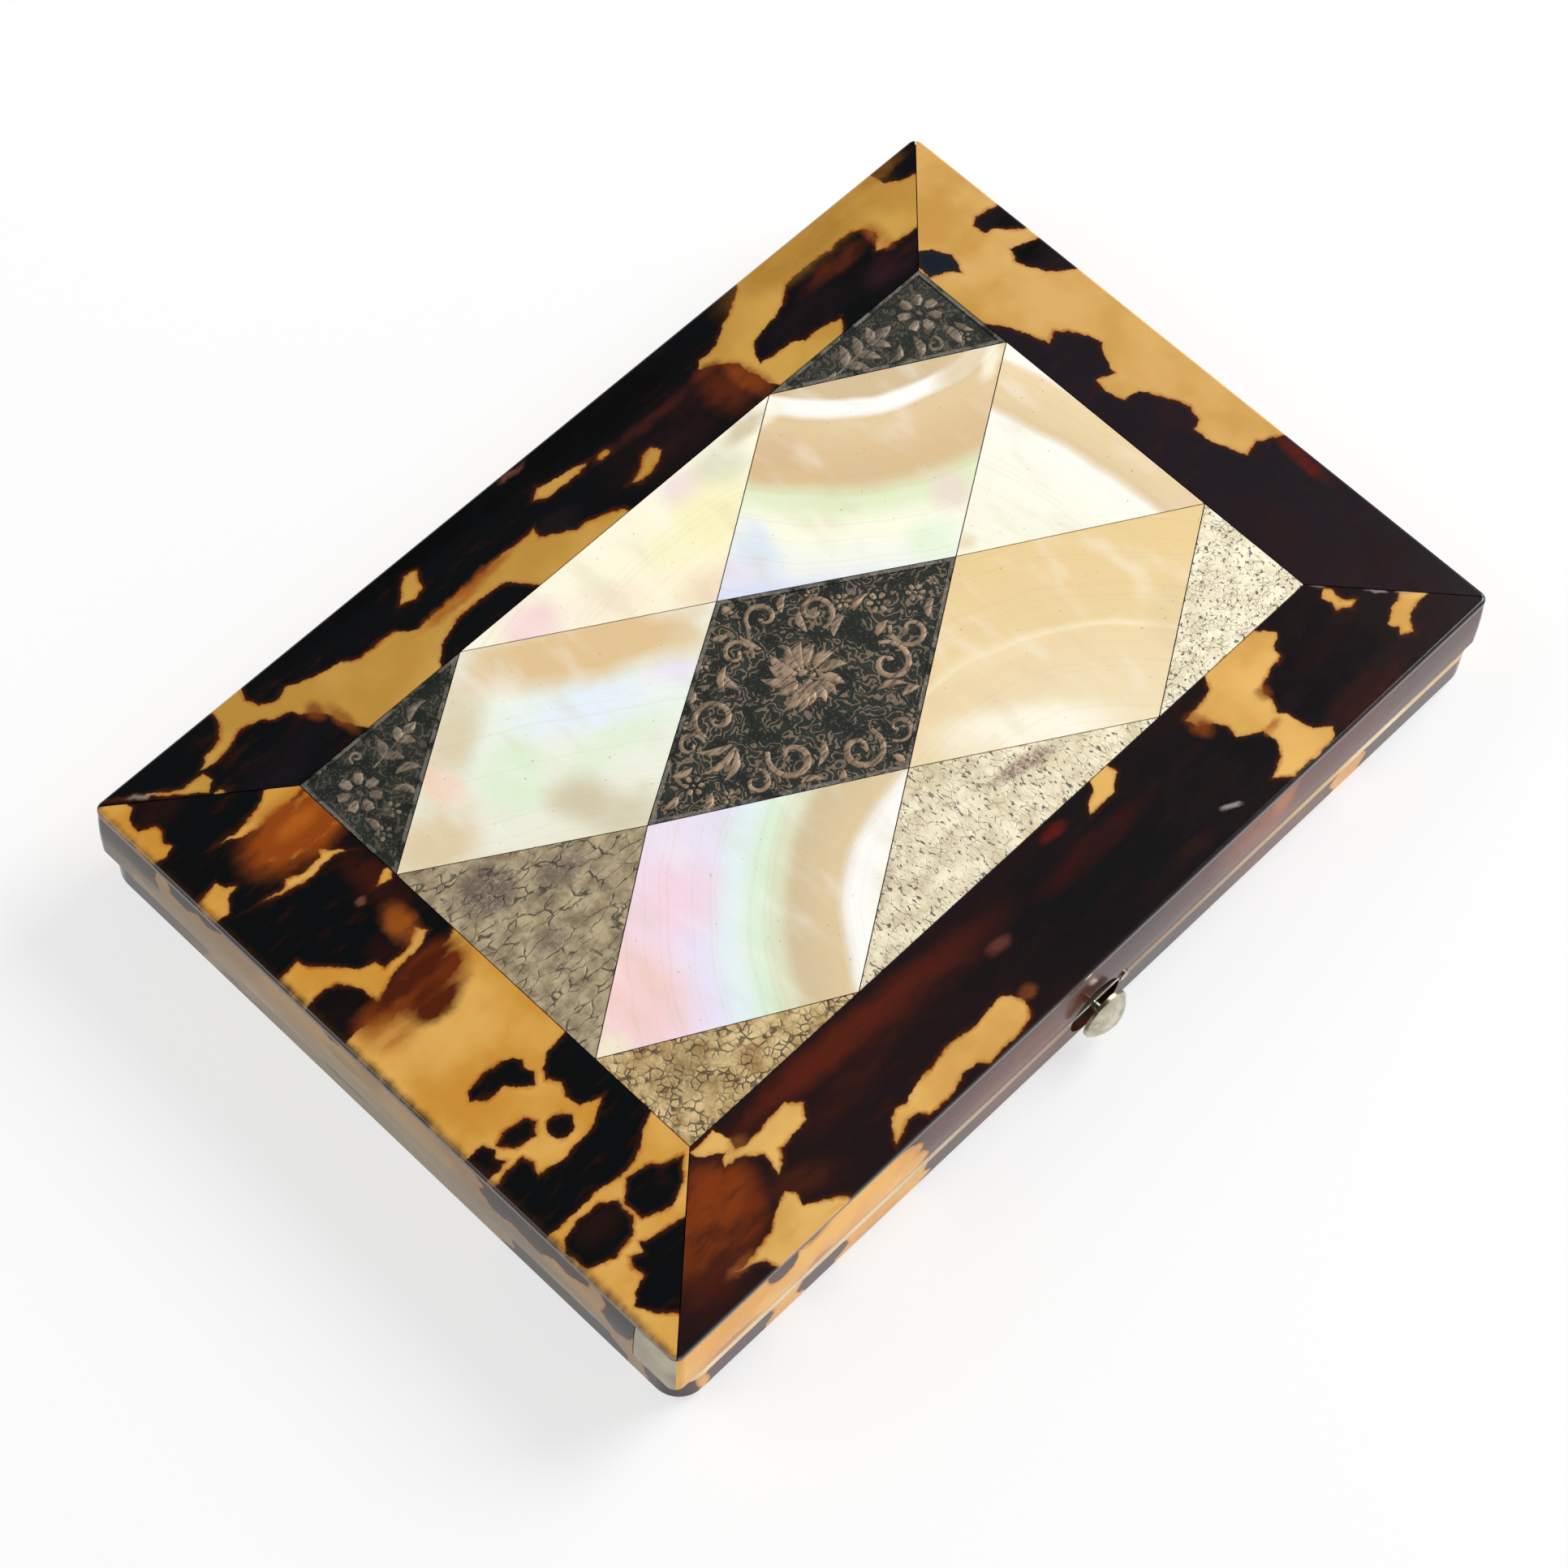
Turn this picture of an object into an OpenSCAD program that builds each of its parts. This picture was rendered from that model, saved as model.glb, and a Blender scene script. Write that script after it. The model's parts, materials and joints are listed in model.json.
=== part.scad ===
// Book-form card case: two shallow halves veneered in tortoiseshell, hinged along one long side,
// with an inlaid lozenge panel on the lid, a push-button catch and a silk concertina inside.
// X runs along the case, +Y is the hinge side, -Y the button side, +Z up.
// The origin is on the flat underside, below the middle of the lid.

/* [Case] */
// Length of the closed case
case_len = 104.8; // [98:0.1:112]
// Width of the closed case, from button side to hinge side
case_w = 72.6; // [68:0.1:80]
// Depth of the base, up to the top of its bone edging
base_h = 5.3; // [4.8:0.1:7]
// Depth of the lid, from the seam to the top face
lid_h = 7; // [6.4:0.1:9]
// Open line between base and lid
seam_gap = 0.15; // [0.1:0.01:0.25]
// Corner radius of the lid in plan
lid_corner_r = 1.1; // [1:0.1:2]
// Corner radius of the base in plan
base_corner_r = 2.8; // [2.2:0.1:3.6]
// How far the base stands in under the lid at the near short side
near_step = 0.5; // [0:0.05:0.8]
// How far the lid's sides swell beyond its top edge
side_swell = 0.2; // [0.1:0.05:0.4]
// Rounding of the base's lower edge
under_r = 1.1; // [1:0.1:1.6]
// Rounding of the top frame's outer edge
top_edge_r = 0.35; // [0.2:0.05:0.5]

/* [Shell] */
// Thickness of the side and underside veneers
veneer_t = 0.7; // [0.5:0.05:0.9]
// Glue line under every veneer
glue_t = 0.03; // [0.02:0.01:0.06]
// Wall thickness of the two carcass trays
wall_t = 1.5; // [1.2:0.1:2]
// Thickness of the base's floor and the lid's top panel
panel_t = 1.2; // [0.9:0.1:1.5]
// Inner corner radius of the trays
pocket_r = 0.8; // [0.4:0.1:2]
// Thickness of the bone edging on the base
rim_t = 1.2; // [0.7:0.05:1.4]

/* [Top inlay] */
// Thickness of the inlay and of its tortoiseshell frame
inlay_t = 0.8; // [0.7:0.05:1.2]
// Width of the frame strip on the button side
strip_front_w = 13; // [8:0.1:16]
// Width of the frame strip on the far short side
strip_far_w = 11.35; // [8:0.05:16]
// Width of the frame strip on the hinge side
strip_back_w = 11.2; // [8:0.1:16]
// Width of the frame strip on the near short side
strip_near_w = 14.55; // [8:0.05:16]
// Open joint between neighbouring inlay pieces
joint_gap = 0.1; // [0.06:0.01:0.2]
// Cuts on the far edge, as shares of half the panel's width
far_cuts = [0.53, -0.5]; // [-0.8:0.01:0.8]
// Cuts on the near edge, as shares of half the panel's width
near_cuts = [0.49, -0.53]; // [-0.8:0.01:0.8]
// Cuts on the hinge-side edge, as shares of half the panel's length
back_cuts = [0.49, -0.51]; // [-0.8:0.01:0.8]
// Cuts on the button-side edge, as shares of half the panel's length
front_cuts = [0.5, -0.48]; // [-0.8:0.01:0.8]
// Far and near points of the middle lozenge, as shares of half the panel's length
mid_cuts_x = [0.48, -0.52]; // [-0.7:0.01:0.7]
// Hinge-side and button-side points of the middle lozenge, as shares of half the width
mid_cuts_y = [0.49, -0.5]; // [-0.7:0.01:0.7]
// Length of the bone repair at the lid's near front corner
patch_len = 5; // [3:0.1:8]

/* [Hinge] */
// Length of the hinge
hinge_len = 92; // [70:1:95]
// Outer radius of the knuckles
knuckle_r = 0.8; // [0.7:0.05:0.9]
// Radius of the hinge pin
hinge_pin_r = 0.38; // [0.3:0.01:0.45]
// Running clearance round the hinge pin
hinge_play = 0.05; // [0.02:0.01:0.08]
// Thickness of the hinge leaves
hinge_leaf_t = 0.4; // [0.3:0.05:0.5]
// Depth of the hinge leaves, into the wall
hinge_leaf_d = 2; // [1.8:0.05:2.1]
// Clearance between a knuckle and the other half
knuckle_gap = 0.12; // [0.08:0.01:0.2]
// Number of fixing pins in each hinge leaf
leaf_pins = 5; // [3:1:8]
// Length of those pins
leaf_pin_len = 1.8; // [1:0.1:2]
// Distance of their heads from the leaf's inner edge
leaf_pin_margin = 0.2; // [0.1:0.05:0.4]
// Shank radius of the small fixing pins
pin_r = 0.26; // [0.2:0.01:0.3]
// Head radius of the small fixing pins
pin_head_r = 0.5; // [0.4:0.01:0.55]
// Head thickness of the small fixing pins
pin_head_t = 0.2; // [0.15:0.01:0.25]
// Room left beyond the end of a hinge pin in its hole
pin_end_gap = 0.1; // [0.05:0.05:0.2]

/* [Catch] */
// Diameter of the button
button_d = 5.2; // [4.6:0.1:5.6]
// Height of the button's dome
button_dome = 1.2; // [1:0.1:1.8]
// Thickness of the button's rim
button_rim_t = 0.35; // [0.3:0.05:0.8]
// How far the button is pressed
button_press = 0.6; // [0.4:0.05:0.8]
// Gap left between the pressed button and the front face
button_clear = 0.4; // [0.1:0.05:0.6]
// Place of the button along the front, from the middle
button_x = -0.2; // [-6:0.1:6]
// Depth of the button's centre below the seam
button_drop = 1.3; // [1.2:0.05:1.5]
// Radius of the button's shank
shank_r = 0.45; // [0.35:0.01:0.5]
// Running clearance of the shank in its bush
shank_play = 0.05; // [0.02:0.01:0.08]
// Outer radius of the bush
bush_r = 0.85; // [0.7:0.05:0.9]
// How far the bush stands proud inside
bush_proud = 0.85; // [0.75:0.05:1]
// Radius of the round recess behind the button
recess_r = 3.1; // [2.9:0.05:3.4]
// Depth of that recess
recess_depth = 1; // [0.8:0.05:1.2]
// Thickness of the metal strip that bridges the recess at the seam
bridge_t = 0.5; // [0.35:0.05:0.55]
// How far that strip stops short of the recess's back
bridge_short = 0.1; // [0.05:0.05:0.3]
// Half length of that strip
bridge_half = 3.7; // [3.5:0.1:5]
// Radius of the small lug at the strip's end
lug_r = 0.55; // [0.4:0.05:0.7]
// How far the lug stands proud of the front face
lug_proud = 0.15; // [0.05:0.05:0.3]
// Thickness of the latch plate
latch_t = 0.5; // [0.35:0.05:0.6]
// Width of the latch plate
latch_w = 3.2; // [2:0.1:5]
// Height of the latch plate's foot above the base's floor
latch_foot = 0.9; // [0.7:0.05:1.2]
// Height of the latch nose above the seam
latch_rise = 1.7; // [1.6:0.1:2.2]
// Height of the latch nose
nose_h = 0.6; // [0.5:0.05:0.65]
// Depth of the flat under the latch nose, where it meets the ledge
nose_flat = 0.18; // [0.1:0.01:0.3]
// Drop of the latch nose's top at half its reach
nose_slope = 0.1; // [0.05:0.01:0.2]
// Gap left between the latch nose and the keeper
nose_gap = 0.08; // [0.06:0.01:0.12]
// Thickness of the keeper plate and of its ledge beyond it
keeper_t = 0.25; // [0.2:0.01:0.3]
// Width of the keeper
keeper_w = 6; // [5:0.1:10]
// Height of the keeper plate
keeper_h = 2.65; // [2.4:0.05:3]
// Height of the keeper's lower edge above the seam
keeper_lift = 0.35; // [0.2:0.05:0.5]
// Height of the keeper's pins above its lower edge
keeper_pin_rise = 2; // [1.6:0.05:2.2]
// Inner width of the catch housing
housing_w = 7; // [6.6:0.1:9]
// Sheet thickness of the catch housing
housing_t = 0.35; // [0.25:0.05:0.4]
// Drop of the housing's top edge below the top of the base
housing_drop = 0.2; // [0.1:0.05:0.5]
// Length of each of the housing's two ears
ear_len = 2.2; // [1.6:0.1:3]
// Length of the pins in the ears and in the keeper
ear_pin_len = 1; // [0.8:0.05:1.3]
// Drop of the ear pins below the button's centre
ear_pin_drop = 0.9; // [0:0.1:1.2]
// Room for the return spring behind the latch
spring_room = 1.5; // [1.3:0.05:1.8]
// Thickness of the return spring
spring_t = 0.12; // [0.1:0.01:0.2]
// Height of the return spring
spring_w = 1.6; // [1:0.1:2]
// Gap between the ends of the return spring and the housing's sides
spring_end_gap = 0.3; // [0.1:0.05:0.5]

/* [Interior] */
// Thickness of the silk-covered lining boards
lining_t = 0.4; // [0.3:0.05:0.5]
// Space left round the lining boards
lining_gap = 0.25; // [0.15:0.05:0.5]
// Thickness of the card leaves
leaf_t = 0.4; // [0.3:0.05:0.5]
// Heights of the card leaves, as shares of the inner height
leaf_levels = [0.326, 0.5, 0.674];
// Corner radius of the card leaves
leaf_corner_r = 1.5; // [0.5:0.1:4]
// Radius of the thumb cut in each leaf
thumb_r = 8; // [6:0.5:12]
// Depth of the thumb cut
thumb_depth = 5.3; // [3:0.1:6]
// Thickness of the silk
silk_t = 0.25; // [0.15:0.05:0.3]
// Width taken by the pleated silk at each end
gusset_w = 1.6; // [1:0.1:2.4]
// Clearance between the silk and the leaves
silk_gap = 0.3; // [0.2:0.05:0.35]
// Clearance between the silk and the walls
silk_wall_gap = 0.15; // [0.1:0.05:0.3]

/* [Hidden] */
$fn = 64;
swell_fn = 720;
pin_fn = 24;
bore_fn = 48;
dome_fn = 128;
over = 1;
fit = 0.02;
seat = 0.02;

lid_z = base_h + seam_gap;
top_z = lid_z + lid_h;
face_z = top_z - inlay_t;
skin = veneer_t + glue_t;
tray_floor_z = skin + panel_t;
tray_top_z = base_h - rim_t;
ceiling_z = face_z - glue_t - panel_t;
pocket_x = case_len / 2 - skin - wall_t;
pocket_y = case_w / 2 - skin - wall_t;
base_len = case_len - near_step;
frame_len = case_len - 2 * side_swell;
frame_w = case_w - 2 * side_swell;

hinge_y = case_w / 2;
hinge_z = base_h + seam_gap / 2;
knuckles = 5;
knuckle_len = hinge_len / knuckles;
groove_r = knuckle_r + knuckle_gap;
leaf_pin_y = case_w / 2 - hinge_leaf_d + pin_head_r + leaf_pin_margin;
leaf_pin_step = hinge_len / leaf_pins;

button_z = base_h - button_drop;
front_y = -case_w / 2;
button_stand = button_press + button_clear;
latch_y = -pocket_y + bush_proud + seat;
latch_bottom = tray_floor_z + latch_foot;
keeper_ledge_z = lid_z + keeper_lift;
keeper_face_y = -pocket_y + fit + 2 * keeper_t;
nose_reach = latch_y - keeper_face_y - nose_gap;
housing_y = latch_y + latch_t + spring_room;
ear_x = housing_w / 2 + housing_t + ear_len / 2;

lining_z = tray_floor_z + fit + lining_t;
lid_lining_z = ceiling_z - fit - lining_t;
inner_h = lid_lining_z - lining_z;
spine_y = pocket_y - silk_wall_gap - silk_t;
leaf_back = spine_y - silk_gap;
leaf_front = housing_y + housing_t + silk_gap;
leaf_half = pocket_x - silk_wall_gap - gusset_w - silk_gap;

// Points of the inlay, from the panel's own centre
panel_half = [case_len - strip_near_w - strip_far_w, case_w - strip_front_w - strip_back_w] / 2;
panel_mid = [strip_near_w - strip_far_w, strip_front_w - strip_back_w] / 2;
function spot(u, v) = panel_mid + [u * panel_half[0], v * panel_half[1]];
far_back = spot(1, far_cuts[0]);
far_front = spot(1, far_cuts[1]);
near_back = spot(-1, near_cuts[0]);
near_front = spot(-1, near_cuts[1]);
back_far = spot(back_cuts[0], 1);
back_near = spot(back_cuts[1], 1);
front_far = spot(front_cuts[0], -1);
front_near = spot(front_cuts[1], -1);
mid_far = spot(mid_cuts_x[0], 0);
mid_near = spot(mid_cuts_x[1], 0);
mid_back = spot(0, mid_cuts_y[0]);
mid_front = spot(0, mid_cuts_y[1]);

shell_honey = "#b57a35";
shell_brown = "#4a2412";
bone = "#e6dcc0";
card_brown = "#6b4a2f";
pearl = "#efe6dc";
dark_silver = "#3d403b";
worn_silver = "#c9c2ae";
nickel = "#c4c0ae";
brass_tone = "#b08d4a";
steel_tone = "#8d9096";
silk_red = "#7d2f3c";
board_red = "#8a3a45";

// Corners of a convex outline, moved inwards by d
function unit(v) = v / norm(v);
function inward(a, b) = let (e = unit(b - a)) [-e[1], e[0]];
function inset(pts, d) = [
    for (i = [0 : len(pts) - 1])
        let (n = len(pts), prev = pts[(i + n - 1) % n], next = pts[(i + 1) % n])
        let (n1 = inward(prev, pts[i]), n2 = inward(pts[i], next))
        pts[i] + (n1 + n2) * d / (1 + n1 * n2)
];

// Rounded rectangle in plan, centred
module rounded(lx, ly, r) {
    square([lx - 2 * r, ly], center = true);
    square([lx, ly - 2 * r], center = true);
    for (x = [-1, 1], y = [-1, 1]) {
        translate([x * (lx / 2 - r), y * (ly / 2 - r)]) circle(r);
    }
}

// Edge profile of a plate: u outwards from the corner centres, rounded at the top
module edge_profile(rc, t, re) {
    square([rc - re, t]);
    square([rc, t - re]);
    translate([rc - re, t - re]) intersection() {
        circle(re);
        square(re);
    }
}

// Plate with rounded corners in plan and a rounded top edge
module soft_plate(lx, ly, rc, t, re) {
    translate([-lx / 2 + rc, -ly / 2 + rc, 0]) cube([lx - 2 * rc, ly - 2 * rc, t]);
    for (side = [0 : 3]) {
        run = (side % 2 == 0 ? lx : ly) - 2 * rc;
        off = (side % 2 == 0 ? ly : lx) / 2 - rc;
        rotate([0, 0, 90 * side]) translate([0, -off, 0]) {
            rotate([90, 0, -90]) linear_extrude(run, center = true) edge_profile(rc, t, re);
            translate([run / 2, 0, 0]) rotate([0, 0, -90])
                rotate_extrude(angle = 90) edge_profile(rc, t, re);
        }
    }
}

// One mitred strip round half a case of length lx: side 0 front, 1 far, 2 hinge side, 3 near.
// Its profile is drawn outwards from the line of corner centres, r inside the outline.
module side_strip(side, lx, r) {
    run = (side % 2 == 0 ? lx : case_w) - 2 * r;
    off = (side % 2 == 0 ? case_w : lx) / 2 - r;
    rotate([0, 0, 90 * side]) translate([0, -off, 0]) {
        rotate([90, 0, -90]) linear_extrude(run, center = true) children();
        for (end = [0, 1]) {
            mirror([end, 0, 0]) translate([run / 2, 0, 0]) rotate([0, 0, -90])
                rotate_extrude(angle = 45) children();
        }
    }
}

// Mitre wedge that holds one side of the base
module side_wedge(side, depth) {
    lx = (side % 2 == 0 ? base_len : case_w) / 2;
    ly = (side % 2 == 0 ? case_w : base_len) / 2;
    rotate([0, 0, 90 * side]) linear_extrude(top_z)
        polygon([[-lx - over, -ly - over], [lx + over, -ly - over],
            [lx - depth, -ly + depth], [-lx + depth, -ly + depth]]);
}

// Lid side: a swelling face, vertical inside
module lid_side_profile() {
    h = face_z - glue_t - lid_z;
    widest = h / 4;
    swell_r = ((h - widest) * (h - widest) + side_swell * side_swell) / (2 * side_swell);
    intersection() {
        translate([lid_corner_r - veneer_t, lid_z]) square([veneer_t, h]);
        translate([lid_corner_r - swell_r, lid_z + widest]) circle(swell_r, $fn = swell_fn);
    }
}

// Veneer of one side of the lid
module lid_side(side) {
    side_strip(side, case_len, lid_corner_r) lid_side_profile();
}

// Base side: upright above, turned under below, square inside
module base_side_profile() {
    lift = base_corner_r - under_r;
    difference() {
        union() {
            translate([lift, under_r]) intersection() {
                circle(under_r);
                translate([0, -under_r]) square(under_r);
            }
            translate([lift, under_r]) square([under_r, tray_top_z - under_r]);
        }
        translate([lift - over, veneer_t]) square([under_r - veneer_t + over, tray_top_z]);
    }
}

// The base's own middle, moved by the step at the near side
module at_base() {
    translate([near_step / 2, 0, 0]) children();
}

// Veneer of one side of the base
module base_side(side) {
    at_base() side_strip(side, base_len, base_corner_r) base_side_profile();
}

// Round groove along the seam that the hinge knuckles turn in
module knuckle_groove() {
    translate([0, hinge_y, hinge_z]) rotate([0, 90, 0])
        cylinder(h = hinge_len + 2 * knuckle_gap, r = groove_r, center = true);
}

// Seat of a hinge leaf, from z0 up
module leaf_seat(z0, t) {
    translate([-hinge_len / 2 - fit, case_w / 2 - hinge_leaf_d - fit, z0])
        cube([hinge_len + 2 * fit, hinge_leaf_d + over, t]);
}

// Round recess that the button sinks into
module button_recess() {
    translate([button_x, front_y + recess_depth, button_z]) rotate([90, 0, 0])
        cylinder(h = recess_depth + over, r = recess_r);
}

// Hole for the button's bush
module bush_hole() {
    translate([button_x, -pocket_y + over, button_z]) rotate([90, 0, 0])
        cylinder(h = wall_t + skin + over, r = bush_r + fit);
}

// Places of the fixing pins in the hinge leaves
module at_leaf_pins() {
    for (i = [0 : leaf_pins - 1]) {
        translate([(i - (leaf_pins - 1) / 2) * leaf_pin_step, leaf_pin_y, 0]) children();
    }
}

// Pin with a flush head, head upwards at z = 0
module flush_pin(depth, slack) {
    translate([0, 0, -depth]) cylinder(h = depth, r = pin_r + slack, $fn = pin_fn);
    translate([0, 0, -pin_head_t])
        cylinder(h = pin_head_t, r = pin_head_r + slack, $fn = pin_fn);
}

// Pin with a raised round head, driven towards -Y, head standing on y = 0
module wall_pin(depth, slack) {
    rotate([90, 0, 0]) cylinder(h = depth, r = pin_r + slack, $fn = pin_fn);
    rotate([-90, 0, 0]) cylinder(h = pin_head_t, r = pin_head_r, $fn = pin_fn);
}

module at_ear_pins() {
    for (side = [-1, 1]) {
        translate([button_x + side * ear_x, -pocket_y + fit + housing_t + fit,
            button_z - ear_pin_drop]) children();
    }
}

module at_keeper_pins() {
    for (side = [-1, 1]) {
        translate([button_x + side * keeper_w / 3, -pocket_y + fit + keeper_t + fit,
            keeper_ledge_z + keeper_pin_rise]) children();
    }
}

module base_tray() {
    color(card_brown) difference() {
        at_base() translate([0, 0, skin]) linear_extrude(tray_top_z - skin)
            rounded(base_len - 2 * skin, case_w - 2 * skin, base_corner_r - skin);
        translate([0, 0, tray_floor_z]) linear_extrude(base_h)
            rounded(2 * pocket_x, 2 * pocket_y, pocket_r);
        button_recess();
        bush_hole();
        at_ear_pins() wall_pin(ear_pin_len + fit, fit);
        translate([0, 0, base_h]) at_leaf_pins() flush_pin(leaf_pin_len + pin_end_gap, fit);
        bridge_seat();
    }
}

module base_under_veneer() {
    color(shell_brown) at_base() linear_extrude(veneer_t)
        rounded(base_len - 2 * (under_r + glue_t), case_w - 2 * (under_r + glue_t),
            base_corner_r - under_r - glue_t);
}

module base_front_veneer() {
    color(shell_honey) difference() {
        base_side(0);
        button_recess();
        bridge_seat();
    }
}

module base_right_veneer() {
    color(shell_brown) base_side(1);
}

module base_back_veneer() {
    color(shell_brown) base_side(2);
}

module base_left_veneer() {
    color(shell_honey) base_side(3);
}

// Bone edging strip of one side, on top of wall and veneer
module rim_strip(side) {
    intersection() {
        translate([0, 0, tray_top_z + seat]) difference() {
            at_base() linear_extrude(rim_t - seat) rounded(base_len, case_w, base_corner_r);
            translate([0, 0, -over]) linear_extrude(rim_t + 2 * over)
                rounded(2 * pocket_x, 2 * pocket_y, pocket_r);
        }
        at_base() side_wedge(side, skin + wall_t + pocket_r);
    }
}

module base_rim_front() {
    color(bone) difference() {
        rim_strip(0);
        button_recess();
        bush_hole();
        bridge_seat();
    }
}

module base_rim_right() {
    color(bone) rim_strip(1);
}

module base_rim_back() {
    color(bone) difference() {
        rim_strip(2);
        knuckle_groove();
        leaf_seat(base_h - hinge_leaf_t - fit, over);
        translate([0, 0, base_h]) at_leaf_pins() flush_pin(leaf_pin_len + pin_end_gap, fit);
    }
}

module base_rim_left() {
    color(bone) rim_strip(3);
}

module base_lining() {
    notch_half = ear_x + ear_len / 2 + lining_gap;
    color(board_red) translate([0, 0, tray_floor_z + fit]) linear_extrude(lining_t)
        difference() {
            rounded(2 * (pocket_x - lining_gap), 2 * (pocket_y - lining_gap), pocket_r);
            translate([button_x - notch_half, -pocket_y - over])
                square([2 * notch_half, housing_y + housing_t + lining_gap + pocket_y + over]);
        }
}

// Knuckles of one hinge leaf, by their numbers from the near end
module knuckle_set(numbers, r, slack) {
    for (k = numbers) {
        translate([-hinge_len / 2 + k * knuckle_len + knuckle_gap / 2 - slack, hinge_y, hinge_z])
            rotate([0, 90, 0]) cylinder(h = knuckle_len - knuckle_gap + 2 * slack, r = r);
    }
}

module hinge_leaf(z0, own, other) {
    difference() {
        union() {
            translate([-hinge_len / 2, case_w / 2 - hinge_leaf_d, z0])
                cube([hinge_len, hinge_leaf_d, hinge_leaf_t]);
            knuckle_set(own, knuckle_r, 0);
        }
        knuckle_set(other, groove_r, knuckle_gap);
        translate([0, hinge_y, hinge_z]) rotate([0, 90, 0])
            cylinder(h = hinge_len + 2 * over, r = hinge_pin_r + hinge_play, center = true);
    }
}

module hinge_base_leaf() {
    color(nickel) difference() {
        hinge_leaf(base_h - hinge_leaf_t, [0, 2, 4], [1, 3]);
        translate([0, 0, base_h]) at_leaf_pins() flush_pin(leaf_pin_len + pin_end_gap, fit);
    }
}

module hinge_lid_leaf() {
    color(nickel) difference() {
        hinge_leaf(lid_z, [1, 3], [0, 2, 4]);
        translate([0, 0, lid_z]) at_leaf_pins() mirror([0, 0, 1]) flush_pin(leaf_pin_len + pin_end_gap, fit);
    }
}

module hinge_base_pins() {
    color(brass_tone) translate([0, 0, base_h]) at_leaf_pins() flush_pin(leaf_pin_len, 0);
}

module hinge_lid_pins() {
    color(brass_tone) translate([0, 0, lid_z]) at_leaf_pins()
        mirror([0, 0, 1]) flush_pin(leaf_pin_len, 0);
}

module hinge_pin() {
    color(steel_tone) translate([0, hinge_y, hinge_z]) rotate([0, 90, 0])
        cylinder(h = hinge_len, r = hinge_pin_r, center = true);
}

// Strip that bridges the recess at the seam, with its lug, top at z = 0 and front at y = 0
module bridge_body(slack, rise) {
    depth = recess_depth - bridge_short;
    translate([-bridge_half - slack, -slack, -bridge_t - slack])
        cube([2 * (bridge_half + slack), depth + 2 * slack, bridge_t + slack + rise]);
    translate([bridge_half, depth + slack, -lug_r]) rotate([90, 0, 0])
        cylinder(h = depth + lug_proud + slack, r = lug_r + slack, $fn = bore_fn);
}

// Seat of that strip in the edging, the front veneer and the wall behind
module bridge_seat() {
    translate([button_x, front_y, base_h]) bridge_body(fit, over);
}

module catch_bridge() {
    color(nickel) translate([button_x, front_y, base_h]) bridge_body(0, 0);
}

module button_bush() {
    color(brass_tone) translate([button_x, front_y + recess_depth, button_z])
        rotate([-90, 0, 0]) difference() {
            cylinder(h = -pocket_y + bush_proud - front_y - recess_depth, r = bush_r,
                $fn = bore_fn);
            translate([0, 0, -over]) cylinder(h = wall_t + skin + bush_proud + 2 * over,
                r = shank_r + shank_play, $fn = bore_fn);
        }
}

// Sheet housing with ears, open at the top and bottom
module catch_housing() {
    depth = housing_y + pocket_y - fit;
    wide = housing_w / 2;
    color(brass_tone) difference() {
        translate([button_x, -pocket_y + fit, tray_floor_z + fit])
            linear_extrude(base_h - housing_drop - tray_floor_z) {
                for (side = [-1, 1]) {
                    translate([side * (wide + housing_t / 2) - housing_t / 2, 0])
                        square([housing_t, depth + housing_t]);
                    translate([side * (wide + (housing_t + ear_len) / 2)
                        - (housing_t + ear_len) / 2, 0]) square([housing_t + ear_len, housing_t]);
                }
                translate([-wide - housing_t, depth])
                    square([2 * (wide + housing_t), housing_t]);
            }
        at_ear_pins() rotate([90, 0, 0])
            cylinder(h = 3 * housing_t, r = pin_r + fit, center = true, $fn = pin_fn);
    }
}

module catch_housing_pins() {
    color(brass_tone) at_ear_pins() wall_pin(ear_pin_len, 0);
}

// Bowed leaf spring between the latch and the housing's back
module catch_spring() {
    bow = spring_room - 2 * seat;
    chord = housing_w / 2 - spring_end_gap;
    r = (chord * chord + bow * bow) / (2 * bow);
    color(steel_tone) translate([button_x, latch_y + latch_t + seat + r, button_z - spring_w / 2])
        intersection() {
            difference() {
                cylinder(h = spring_w, r = r, $fn = dome_fn);
                translate([0, 0, -over])
                    cylinder(h = spring_w + 2 * over, r = r - spring_t, $fn = dome_fn);
            }
            translate([-chord, -r - over, -over]) cube([2 * chord, bow + over, spring_w + 2 * over]);
        }
}

// Domed head on its shank
module catch_button() {
    head_r = button_d / 2;
    dome_r = (head_r * head_r + button_dome * button_dome) / (2 * button_dome);
    color(nickel) translate([button_x, front_y - button_stand, button_z]) {
        rotate([90, 0, 0]) {
            cylinder(h = button_rim_t, r = head_r, $fn = dome_fn);
            translate([0, 0, button_rim_t]) intersection() {
                translate([0, 0, button_dome - dome_r]) sphere(dome_r, $fn = dome_fn);
                cylinder(h = button_dome + over, r = head_r, $fn = dome_fn);
            }
        }
        rotate([-90, 0, 0])
            cylinder(h = latch_y + latch_t - front_y + button_stand, r = shank_r, $fn = bore_fn);
    }
}

// Upright plate riveted to the shank, with a nose over the keeper's ledge
module latch() {
    top = lid_z + latch_rise;
    color(steel_tone) difference() {
        union() {
            translate([button_x - latch_w / 2, latch_y, latch_bottom])
                cube([latch_w, latch_t, top - latch_bottom]);
            translate([button_x - latch_w / 2, latch_y, top]) rotate([0, 90, 0])
                linear_extrude(latch_w)
                    polygon([[0, latch_t / 2], [0, 0], [nose_slope, -nose_reach / 2],
                        [nose_h - nose_flat, -nose_reach], [nose_h, -nose_reach],
                        [nose_h, latch_t / 2]]);
        }
        translate([button_x, latch_y - over, button_z]) rotate([-90, 0, 0])
            cylinder(h = latch_t + 2 * over, r = shank_r + fit, $fn = bore_fn);
    }
}

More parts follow.
